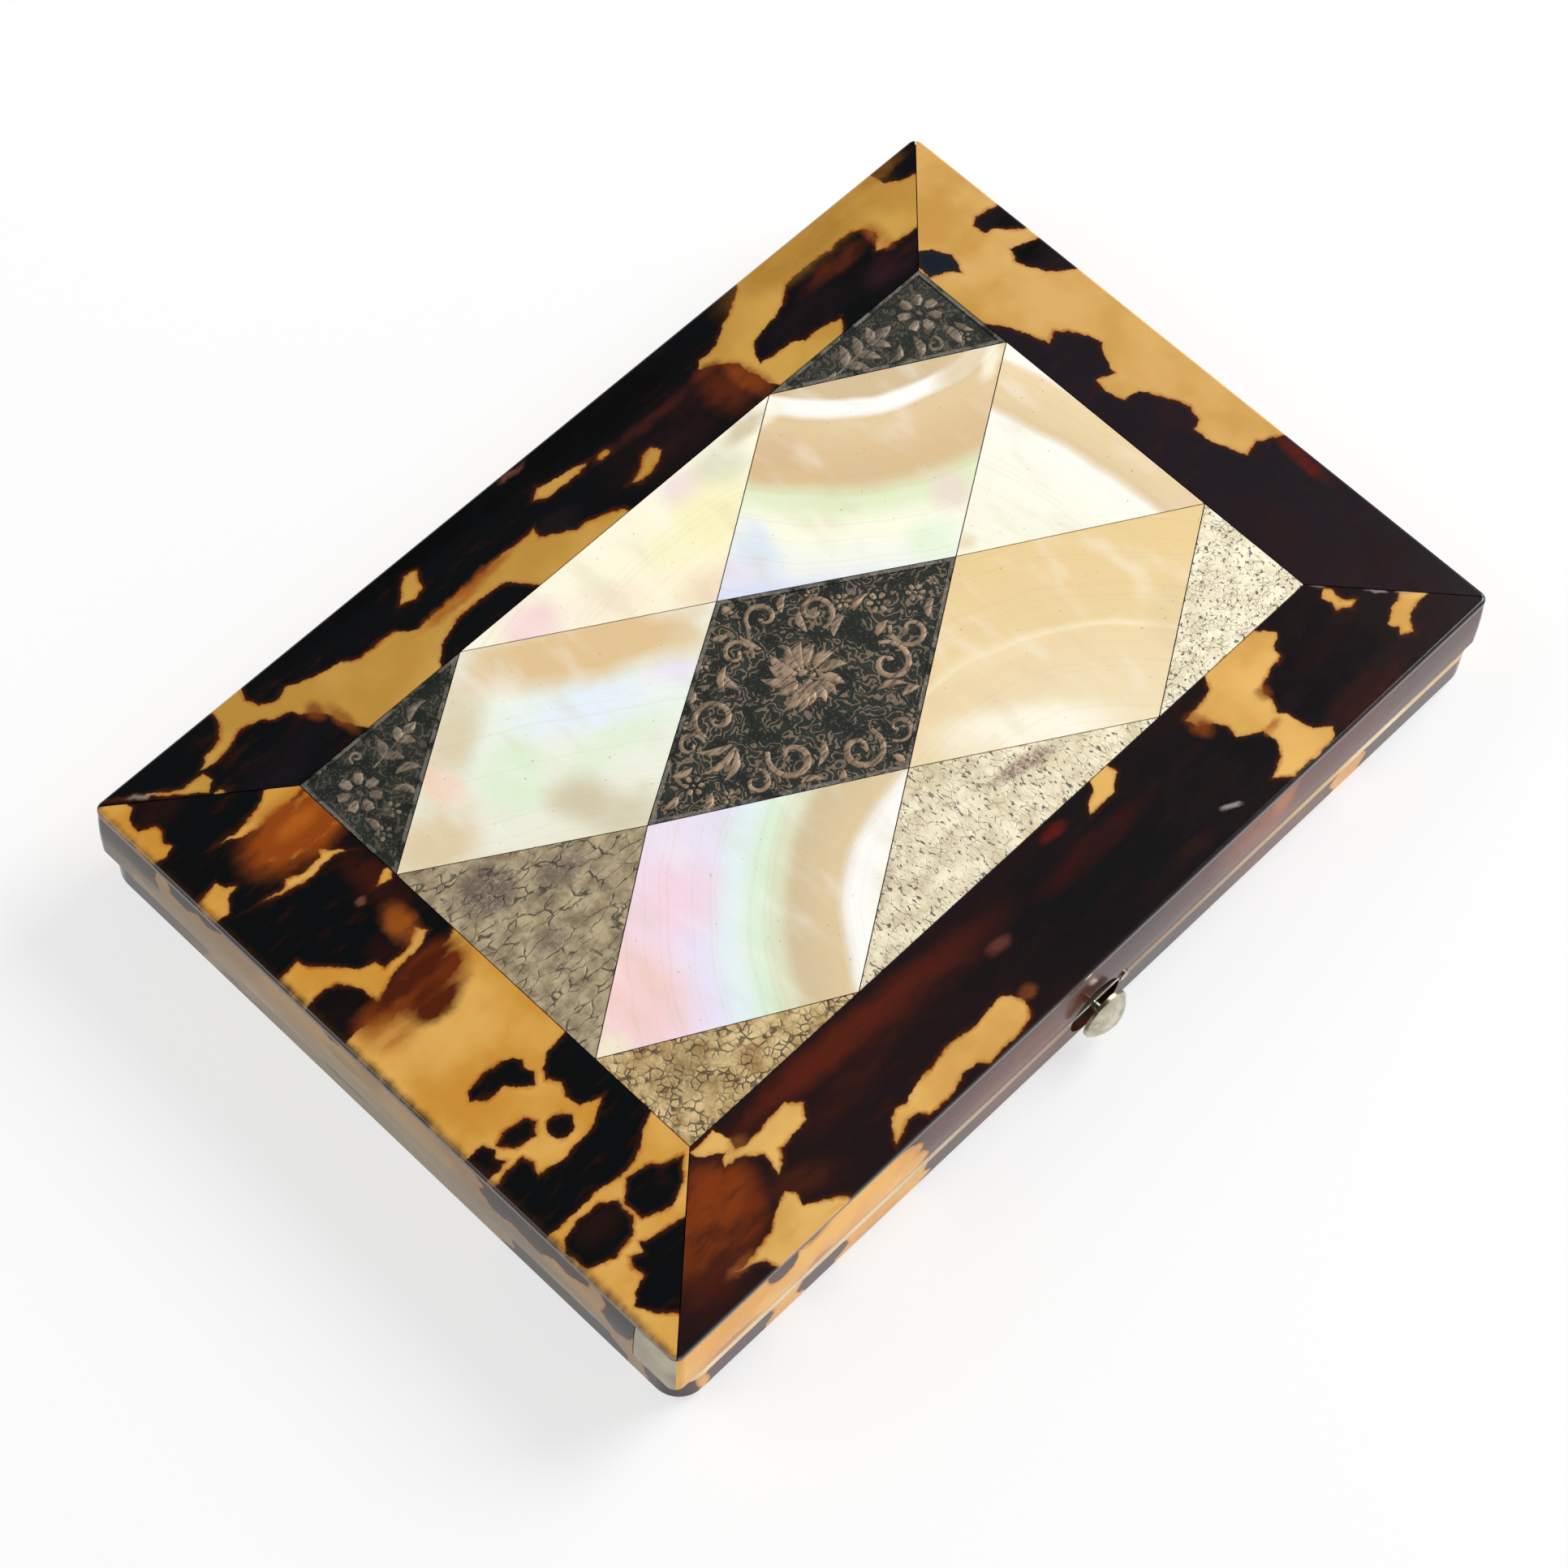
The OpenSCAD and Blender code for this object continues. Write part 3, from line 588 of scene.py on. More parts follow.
@dataclass(frozen=True)
class Pearl:
    """Mother-of-pearl: bands of colour round the place it grew from, soft tints over them, and
    painted sheen.
    """

    name: str
    centre: tuple[float, float]
    bands: tuple[Stop, ...]
    tints: tuple[Tint, ...] = ()
    seed: float = 1.0

    def material(self) -> bpy.types.Material:
        """Builds the finish.

        Returns:
            The material.
        """
        bench = Bench(bpy.data.materials.new(self.name))
        place = bench.flat(bench.point(), Plane.TOP)
        point = bench.warped(place, 0.12, 0.7, self.seed)
        middle = (self.centre[0], self.centre[1], 0.0)
        reach = bench.vector("LENGTH", bench.vector("SUBTRACT", point, middle), output="Value")
        colour = bench.ramp(reach, self.bands)
        soft = bench.warped(place, 0.2, 1.2, self.seed + 4)
        colour = bench.tinted(colour, soft, self.tints)
        fold = bench.noise(point, 0.3, 3.0, 0.5, self.seed + 9, (1.0, 2.5, 1.0))
        # Lighter and darker ripples along the layers: painted sheen of the nacre.
        colour = bench.mix(bench.step(fold, 0.5, 0.78) * 0.35, colour, Tone(255, 253, 246))
        colour = bench.mix(bench.step(fold, 0.48, 0.26) * 0.25, colour, Tone(214, 196, 160))
        line = bench.node(
            "ShaderNodeTexNoise",
            {"noise_dimensions": "1D"},
            {"W": reach, "Scale": 2.4, "Detail": 3.0, "Roughness": 0.6},
        )
        colour = bench.mix(bench.step(line, 0.55, 0.7) * 0.1, colour, Tone(190, 165, 130))
        pit = bench.noise(place, 2.2, 1.0, 0.5, self.seed + 21)
        colour = bench.mix(bench.step(pit, 0.73, 0.78) * 0.5, colour, Tone(150, 140, 120))
        return bench.surface(
            Base_Color=colour,
            Roughness=0.2 + 0.14 * fold,
            IOR=1.55,
            Coat_Weight=0.3,
            Coat_Roughness=0.08,
            Normal=bench.bump(fold + 0.1 * line, 0.03),
        )


@dataclass(frozen=True)
class WornSilver:
    """Silver foil under cracked lacquer, with tarnish, dirt and fine black specks.

    Attributes:
        name: The finish's name.
        light: Its lighter colour.
        deep: Its tarnished colour.
        crack: Colour of the cracks.
        cells: Crack cells a millimetre.
        crack_width: Width of a crack, as a share of a cell.
        crack_depth: Strength of the cracks.
        specks: Level of noise from which a speck shows.
        draw: How much finer the pattern is along each axis.
        tints: Soft colours over it.
        seed: Seed of its noises.
    """

    name: str
    light: Tone
    deep: Tone
    crack: Tone
    cells: float
    crack_width: float
    crack_depth: float
    specks: float
    draw: tuple[float, float, float]
    tints: tuple[Tint, ...] = ()
    seed: float = 1.0

    def material(self) -> bpy.types.Material:
        """Builds the finish.

        Returns:
            The material.
        """
        bench = Bench(bpy.data.materials.new(self.name))
        place = bench.flat(bench.point(), Plane.TOP)
        point = bench.warped(place, 0.8, 0.35, self.seed)
        cloud = bench.noise(place, 0.45, 5.0, 0.65, self.seed + 2)
        fine = bench.noise(place, 2.6, 4.0, 0.7, self.seed + 4)
        colour = bench.mix(bench.step(cloud, 0.34, 0.66), self.light, self.deep)
        colour = bench.mix(bench.step(fine, 0.5, 0.75) * 0.4, colour, self.deep)
        colour = bench.tinted(colour, point, self.tints, bench.step(fine, 0.3, 0.6))
        drawn = bench.node("ShaderNodeMapping", {}, {0: point, 3: self.draw})
        cell = bench.node(
            "ShaderNodeTexVoronoi",
            {"feature": "DISTANCE_TO_EDGE"},
            {"Vector": drawn, "Scale": self.cells},
        )
        broken = bench.step(bench.noise(place, 0.7, 3.0, seed=self.seed + 6), 0.36, 0.6)
        crack = bench.step(cell, self.crack_width, self.crack_width * 0.2) * broken
        colour = bench.mix(crack * self.crack_depth, colour, self.crack)
        speck_field = bench.noise(drawn, 2.5, 3.0, 0.6, self.seed + 8)
        speck = bench.step(speck_field, self.specks, self.specks + 0.05)
        colour = bench.mix(speck * 0.85, colour, Tone(52, 44, 38))
        return bench.surface(
            Base_Color=colour,
            Metallic=0.25,
            Roughness=0.38 + 0.2 * fine,
            Normal=bench.bump(fine * 0.4 - crack - speck, 0.03),
        )


@dataclass(frozen=True)
class EngravedGround:
    """Darkened, stippled ground of an engraved plate, with its edge rubbed bright.

    Attributes:
        name: The finish's name.
        edge_height: Height of the plate's bright edge in millimetres.
        seed: Seed of its noises.
        curls: How closely its fine curls lie.
        bright: Strength of the curls.
        edge_fade: Millimetres over which the edge brightens.
    """

    name: str
    edge_height: float
    seed: float = 1.0
    curls: float = 46.0
    bright: float = 0.75
    edge_fade: float = 0.03

    def material(self) -> bpy.types.Material:
        """Builds the finish.

        Returns:
            The material.
        """
        bench = Bench(bpy.data.materials.new(self.name))
        point = bench.point()
        cloud = bench.noise(point, 0.5, 3.0, 0.6, self.seed)
        dots = bench.node("ShaderNodeTexVoronoi", {}, {"Vector": point, "Scale": 3.2})
        dot = bench.step(dots, 0.34, 0.12)
        curl = bench.noise(bench.warped(point, 0.7, 0.9, self.seed + 5), 0.55, 1.0, seed=self.seed)
        cut = bench.step(bench.math("SINE", curl * self.curls), 0.35, 0.75)
        cut = cut * bench.step(cloud, 0.4, 0.5)
        colour = bench.mix(bench.step(cloud, 0.35, 0.7), Tone(18, 24, 18), Tone(38, 44, 34))
        colour = bench.mix(dot * 0.3, colour, Tone(88, 82, 68))
        colour = bench.mix(cut * self.bright, colour, Tone(138, 118, 98))
        height = bench.part(point, "Z")
        edge = bench.step(height, self.edge_height - self.edge_fade, self.edge_height)
        rubbed = edge * bench.step(cloud, 0.38, 0.56) * 0.4
        colour = bench.mix(rubbed, colour, Tone(150, 144, 132))
        return bench.surface(
            Base_Color=colour,
            Metallic=0.35,
            Roughness=0.42 + 0.2 * cloud,
            Normal=bench.bump(dot + cut, 0.03),
        )


@dataclass(frozen=True)
class EngravedFigure:
    """Raised ornament of an engraved plate, dull rosy silver with fine graver lines."""

    name: str
    light: Tone = Tone(176, 150, 124)
    deep: Tone = Tone(128, 106, 84)
    seed: float = 1.0

    def material(self) -> bpy.types.Material:
        """Builds the finish.

        Returns:
            The material.
        """
        bench = Bench(bpy.data.materials.new(self.name))
        point = bench.point()
        cloud = bench.noise(point, 0.9, 3.0, 0.6, self.seed)
        lines = bench.noise(point, 2.0, 2.0, 0.5, self.seed + 3, (2.5, 0.5, 1.0))
        colour = bench.mix(bench.step(cloud, 0.3, 0.7), self.light, self.deep)
        colour = bench.mix(bench.step(lines, 0.52, 0.62) * 0.7, colour, Tone(62, 52, 44))
        return bench.surface(
            Base_Color=colour,
            Metallic=0.3,
            Roughness=0.4 + 0.15 * cloud,
            Normal=bench.bump(lines, 0.03),
        )


@dataclass(frozen=True)
class Bone:
    """Polished bone with fine grain lines and a yellowed tone."""

    name: str
    plane: Plane
    pale: Tone = Tone(250, 226, 184)
    aged: Tone = Tone(222, 182, 126)
    seed: float = 1.0
    tints: tuple[Tint, ...] = ()

    def material(self) -> bpy.types.Material:
        """Builds the finish.

        Returns:
            The material.
        """
        bench = Bench(bpy.data.materials.new(self.name))
        place = bench.flat(bench.point(), self.plane)
        age = bench.noise(place, 0.09, 3.0, 0.6, self.seed)
        grain = bench.noise(place, 3.0, 2.0, 0.6, self.seed + 2, (14.0, 1.0, 1.0))
        colour = bench.mix(bench.step(age, 0.36, 0.66), self.pale, self.aged)
        colour = bench.mix(bench.step(grain, 0.55, 0.75) * 0.35, colour, Tone(176, 128, 78))
        colour = bench.tinted(colour, place, self.tints)
        return bench.surface(
            Base_Color=colour,
            Roughness=0.26 + 0.15 * grain,
            IOR=1.53,
            Normal=bench.bump(grain, 0.02),
        )


@dataclass(frozen=True)
class Metal:
    """Rubbed metal with fine scratches and dull patches."""

    name: str
    bright: Tone
    dull: Tone
    smooth: float = 0.2
    seed: float = 1.0

    def material(self) -> bpy.types.Material:
        """Builds the finish.

        Returns:
            The material.
        """
        bench = Bench(bpy.data.materials.new(self.name))
        point = bench.point()
        cloud = bench.noise(point, 0.5, 4.0, 0.6, self.seed)
        scratch = bench.noise(point, 6.0, 2.0, 0.6, self.seed + 2, (9.0, 1.0, 1.0))
        colour = bench.mix(bench.step(cloud, 0.35, 0.7), self.bright, self.dull)
        colour = bench.mix(bench.step(scratch, 0.6, 0.75) * 0.3, colour, self.dull)
        return bench.surface(
            Base_Color=colour,
            Metallic=1.0,
            Roughness=self.smooth + 0.22 * cloud,
            Normal=bench.bump(scratch, 0.006),
        )


@dataclass(frozen=True)
class Carcass:
    """Thin seasoned wood of the two trays, grained along the case, darkened towards the front with
    painted shade in the button's recess.

    Attributes:
        name: The finish's name.
        seed: Seed of its noises.
        recess_shade: Where the painted shade begins, in millimetres across the case.
        recess_shade_fade: Millimetres over which it deepens.
    """

    name: str
    seed: float = 1.0
    recess_shade: float = -33.0
    recess_shade_fade: float = 1.5

    def material(self) -> bpy.types.Material:
        """Builds the finish.

        Returns:
            The material.
        """
        bench = Bench(bpy.data.materials.new(self.name))
        point = bench.point()
        bent = bench.warped(point, 0.05, 1.5, self.seed)
        grain = bench.noise(bent, 1.6, 4.0, 0.65, self.seed + 1, (22.0, 1.0, 1.0))
        pore = bench.noise(bent, 4.0, 2.0, 0.6, self.seed + 2, (12.0, 1.0, 1.0))
        colour = bench.ramp(
            grain, ((0.3, Tone(70, 42, 26)), (0.5, Tone(104, 68, 42)), (0.72, Tone(132, 92, 58)))
        )
        colour = bench.mix(bench.step(pore, 0.62, 0.74) * 0.6, colour, Tone(50, 30, 20))
        # Painted shade: the trays darken towards their front, where the button's recess is.
        front = bench.step(bench.part(point, "Y"), self.recess_shade, self.recess_shade - self.recess_shade_fade)
        colour = bench.mix(front * 0.9, colour, Tone(16, 10, 9))
        return bench.surface(
            Base_Color=colour,
            Roughness=0.55 + 0.2 * grain,
            Normal=bench.bump(grain - pore * 0.4, 0.04),
        )


@dataclass(frozen=True)
class Silk:
    """Ribbed silk: crossing threads, a lengthwise rib and a faded, uneven tone.

    Attributes:
        name: The finish's name.
        tone: Its colour.
        faded: Its faded colour.
        thread: Ribs a millimetre.
        seed: Seed of its noises.
        fine: How many weft threads there are for each rib.
    """

    name: str
    tone: Tone = Tone(128, 34, 46)
    faded: Tone = Tone(158, 62, 66)
    thread: float = 4.5
    seed: float = 1.0
    fine: float = 2.4

    def material(self) -> bpy.types.Material:
        """Builds the finish.

        Returns:
            The material.
        """
        bench = Bench(bpy.data.materials.new(self.name))
        uv = bench.node("ShaderNodeTexCoord", output="UV")
        place = bench.node("ShaderNodeMapping", {}, {0: uv, 3: (1 / MM,) * 3})
        fade = bench.noise(place, 0.07, 4.0, 0.6, self.seed)
        slub = bench.noise(place, 1.0, 2.0, 0.5, self.seed + 2, (10.0, 0.5, 1.0))
        rib = self._threads(bench, place, "Y", self.thread)
        weft = self._threads(bench, place, "X", self.thread * self.fine)
        colour = bench.mix(bench.step(fade, 0.36, 0.68), self.tone, self.faded)
        # Darker between the ribs: painted shade in the weave's grooves.
        colour = bench.mix((1.0 - rib) * 0.45, colour, Tone(66, 14, 24))
        colour = bench.mix(bench.step(slub, 0.58, 0.72) * 0.3, colour, self.faded)
        return bench.surface(
            Base_Color=colour,
            Roughness=0.42 + 0.25 * slub,
            Sheen_Weight=0.35,
            Sheen_Roughness=0.35,
            Normal=bench.bump(rib + weft * 0.35, 0.04),
        )

    def _threads(self, bench: Bench, place: Flow, axis: str, count: float) -> Flow:
        """Gives the round tops of threads, so many a millimetre across an axis."""
        wave = bench.math("SINE", bench.part(place, axis) * (count * math.tau))
        return wave * 0.5 + 0.5


@dataclass(frozen=True)
class StudioFloor:
    """White table that keeps a soft shadow."""

    name: str
    glow: float = 0.66
    white: float = 0.95

    def material(self) -> bpy.types.Material:
        """Builds the finish.

        Returns:
            The material.
        """
        bench = Bench(bpy.data.materials.new(self.name))
        seen: Flow | float = 0.0
        for ray in ("Is Camera Ray", "Is Glossy Ray", "Is Transmission Ray"):
            seen = bench.math("MAXIMUM", seen, bench.node("ShaderNodeLightPath", output=ray))
        plain = bench.node(
            "ShaderNodeBsdfDiffuse", {}, {"Color": (self.white, self.white, self.white, 1.0)}
        )
        bright = bench.node("ShaderNodeEmission", {}, {"Strength": 1.0})
        mixed = bench.node("ShaderNodeMixShader", {}, {0: seen * self.glow, 1: plain, 2: bright})
        bench.end(mixed)
        return bench.owner


# ---------------------------------------------------------------- modelling helpers

# Corners nearer than this, in metres, are one corner
ONE_CORNER = 1e-6
# Faces that turn less than this are one face
ONE_FACE = math.radians(0.5)
# Edges that turn more than this are rounded
SHARP_EDGE = math.radians(30)
# Edges and folds that turn less than these are shaded smooth
SMOOTH_EDGE = math.radians(40)
SMOOTH_FOLD = math.radians(60)


def select_only(*pieces: bpy.types.Object) -> None:
    """Selects just these objects.

    Args:
        pieces: The objects, of which the last one becomes active.
    """
    for other in bpy.context.view_layer.objects:
        other.select_set(False)
    for piece in pieces:
        piece.select_set(True)
        bpy.context.view_layer.objects.active = piece


def dress(node: str, material: bpy.types.Material) -> None:
    """Gives a CAD node its finish.

    Args:
        node: The node.
        material: The finish.
    """
    mesh = frame["nodes"][node].data
    if not mesh.materials:
        mesh.materials.append(material)
    for index in range(len(mesh.materials)):
        mesh.materials[index] = material
    LOG.info("dressed %s in %s", node, material.name)


def copy_of(node: str, name: str, material: bpy.types.Material) -> bpy.types.Object:
    """Copies a CAD node as a new piece with whole faces.

    Args:
        node: The CAD node.
        name: The new piece's name.
        material: Its finish.

    Returns:
        The copy, with its doubles merged and its flat faces joined.
    """
    source = frame["nodes"][node]
    copy = bpy.data.objects.new(name, source.data.copy())
    copy.data.name = name
    bpy.context.scene.collection.objects.link(copy)
    select_only(copy)
    copy.data.materials.clear()
    copy.data.materials.append(material)
    bpy.ops.object.mode_set(mode="EDIT")
    bpy.ops.mesh.select_all(action="SELECT")
    bpy.ops.mesh.remove_doubles(threshold=ONE_CORNER)
    bpy.ops.mesh.customdata_custom_splitnormals_clear()
    bpy.ops.mesh.dissolve_limited(angle_limit=ONE_FACE)
    bpy.ops.object.mode_set(mode="OBJECT")
    return copy


def stands_for(piece: bpy.types.Object, node: str, body: str | None = None) -> None:
    """Puts a piece in a CAD node's place.

    Args:
        piece: The piece.
        node: The node.
        body: The body that it rides on, or None to leave it on no body.
    """
    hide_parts(node)
    if body:
        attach(piece, body)
    LOG.info("built %s for %s", piece.name, node)


def box_uv(piece: bpy.types.Object) -> None:
    """Lays a piece's UV map flat in metres, by the way each face looks.

    Args:
        piece: The piece.
    """
    mesh = piece.data
    layer = mesh.uv_layers.get("Cut") or mesh.uv_layers.new(name="Cut")
    for face in mesh.polygons:
        axis = max(range(3), key=lambda k: abs(face.normal[k]))
        first, second = ((1, 2), (0, 2), (0, 1))[axis]
        for loop in face.loop_indices:
            spot = mesh.vertices[mesh.loops[loop].vertex_index].co
            layer.data[loop].uv = (spot[first], spot[second])


def bevelled(piece: bpy.types.Object, width: float, steps: int) -> None:
    """Rounds a piece's sharp edges.

    Args:
        piece: The piece.
        width: Width of the rounding in millimetres.
        steps: How many faces it has.
    """
    select_only(piece)
    rounding = piece.modifiers.new("Rounding", "BEVEL")
    rounding.width = width * MM
    rounding.segments = steps
    rounding.limit_method = "ANGLE"
    rounding.angle_limit = SHARP_EDGE
    bpy.ops.object.modifier_apply(modifier=rounding.name)
    bpy.ops.object.shade_smooth_by_angle(angle=SMOOTH_EDGE)


# ---------------------------------------------------------------- rows of marks

Rgb = tuple[int, int, int]


def spots(*rows: tuple[float, ...]) -> tuple[Spot, ...]:
    """Makes spots of rows of numbers."""
    return tuple(Spot(*row) for row in rows)


def tints(*rows: tuple[Rgb, float, tuple[float, ...]]) -> tuple[Tint, ...]:
    """Makes tints of rows of a colour, a strength and a spot's numbers."""
    return tuple(Tint(Tone(*tone), Spot(*row), strength) for tone, strength, row in rows)


def patches(*rows: tuple[float, ...]) -> tuple[Patch, ...]:
    """Makes patches of rows of numbers, two for each corner."""
    return tuple(Patch(tuple(zip(row[::2], row[1::2], strict=True))) for row in rows)


def bands(*rows: tuple[float, int, int, int]) -> tuple[Stop, ...]:
    """Makes bands of rows of a radius in millimetres and a colour's three parts."""
    return tuple((place, Tone(*tone)) for place, *tone in rows)


# ---------------------------------------------------------------- shell

# Height in millimetres of the dark glue line and painted shade under the frame's rim
FRAME_EDGE = 12.2

FRONT_STRIP = Tortoiseshell(
    "shell_front_strip", Plane.TOP, ground=-3.0,
    honey=patches(
        (-37.9, -23.4, -37.6, -24.3, -36.5, -24.85, -35.65, -25.4, -36.4, -25.8, -36.7, -26.5,
         -35.5, -26.4, -34.6, -26.96, -33.5, -27.9, -33.6, -28.9, -34, -29.9, -33, -29.5,
         -32.1, -28.5, -30.3, -28.3, -28.7, -28, -27.8, -26.9, -28.8, -25.7, -30.9, -25.9,
         -32.3, -26.1, -34, -26.2, -34.9, -25.8, -34.6, -24.8, -35, -23.4),
        (-42.7, -33.7, -41.5, -34.1, -40.3, -34.7, -39.6, -36.5, -31, -36.5, -31.2, -35.4,
         -32.1, -34.7, -33.4, -34.1, -34.4, -33.3, -34.1, -32.1, -34.6, -31.5, -35.7, -31.8,
         -36.7, -32.4, -38, -33.2, -39.8, -33.5, -41.5, -33.8),
        (-24.9, -35.1, -23.8, -34.8, -22.6, -34.2, -21.5, -34.5, -20.9, -35.3, -17.7, -35.2,
         -16.1, -34.5, -14.6, -34.7, -13.8, -35.4, -9.6, -35.4, -8.2, -35, -7.6, -34.3,
         -7.4, -33.3, -7.9, -32.3, -8.9, -31.8, -12.3, -32.2, -15, -31.8, -17.3, -32.2, -20, -32.5,
         -21.5, -33.1, -22.6, -32.8, -24, -33.5),
        (10.1, -25.4, 11.5, -25.3, 13.3, -25.3, 13.7, -24.8, 14.9, -24.1, 14.8, -22.6, 12.9, -22.6,
         11.9, -23.9, 10.6, -24.5),
        (23.2, -24.9, 23.5, -26, 24.6, -26.8, 25.4, -27.9, 25.2, -29.3, 26.5, -30, 27.3, -30.6,
         27.5, -32.1, 26.5, -33.3, 24.4, -34.2, 25.8, -35.5, 31.5, -35.4, 32.1, -34.5, 30.6, -33.3,
         30.2, -30.8, 29.6, -30, 30.4, -28.9, 30.2, -27.9, 30.8, -27.3, 32.7, -26.7, 34.2, -26.6,
         34.6, -25.5, 35.8, -24.6, 35.2, -23.6, 33.5, -22.6, 28.2, -22.6, 26.9, -24.5, 25, -24.8),
        (41.4, -25.2, 41.8, -26, 41.4, -26.8, 42.1, -27, 42.9, -27.7, 43.6, -27.4, 42.7, -26.4,
         42.9, -25.4, 42.5, -24.5),
        (43.8, -31.2, 44.2, -32, 43.7, -32.6, 44.8, -33.3, 46, -31.8, 47.5, -31.6, 49, -31.4,
         47.5, -29.2, 46.7, -29.9, 45.4, -30.2),
    ),
    deep=tints(
        ((13, 14, 16), 0.9, (10, -30, 22, 8)), ((8, 7, 9), 0.9, (34, -29, 12, 8)),
        ((122, 52, 14), 0.95, (-42, -28.5, 6, 4.6, 20)),
        ((130, 56, 16), 0.9, (-38.6, -28, 3.4, 3)), ((66, 24, 14), 0.8, (-46, -33.2, 5, 2)),
        ((112, 44, 14), 0.8, (-38.5, -31.2, 3.4, 1.4, 25)),
        ((64, 24, 16), 0.6, (-29, -25, 6, 1.2)), ((92, 32, 16), 0.8, (-20, -25.2, 14, 1.7, -3)),
        ((62, 24, 16), 0.6, (-22, -28, 8, 1.6, 10)), ((70, 26, 18), 0.5, (-10, -26.4, 9, 2)),
        ((104, 26, 18), 0.8, (6.4, -24.2, 1.6, 0.7)), ((60, 18, 16), 0.7, (8, -27.6, 7, 1.3)),
        ((60, 22, 14), 0.8, (37, -34.3, 6, 1.5)), ((32, 12, 14), 0.6, (37.5, -28.5, 4, 1.6)),
        ((74, 32, 14), 0.7, (-33, -31.6, 4, 1.5, -25)),
        ((96, 52, 44), 0.95, (-5, -28.4, 1.5, 0.6, 5)), ((50, 24, 20), 0.6, (14, -34, 3, 0.8)),
    ),
    over=tints(
        ((170, 100, 34), 0.9, (28.3, -30.8, 1.2, 0.5, 12)),
        ((120, 58, 18), 0.95, (23.7, -26.1, 1.0, 1.4)),
        ((130, 70, 25), 0.8, (30.2, -27.9, 0.9, 0.8)),
        ((118, 60, 28), 0.9, (-6.6, -33.2, 1.1, 0.7)),
        ((150, 84, 38), 0.7, (-41.8, -33.6, 1.8, 0.6)),
        ((160, 96, 40), 0.5, (-34.6, -25.6, 1.3, 0.8)),
        ((170, 164, 156), 0.85, (19.6, -33.5, 1.0, 0.3, -25)),
        # Thin grey streaks along the far front mitre: painted highlights.
        ((140, 130, 124), 0.8, (42.1, -23.7, 0.8, 0.3, -50)),
        ((150, 142, 138), 0.8, (45.6, -28.1, 1.0, 0.2, -51)),
        ((150, 142, 138), 0.7, (47.4, -30.0, 0.8, 0.15, -51)),
    ),
    base=Tone(30, 17, 18), pale=Tone(230, 182, 102), rich=Tone(208, 158, 80),
    edge=FRAME_EDGE, seed=1.3,
)
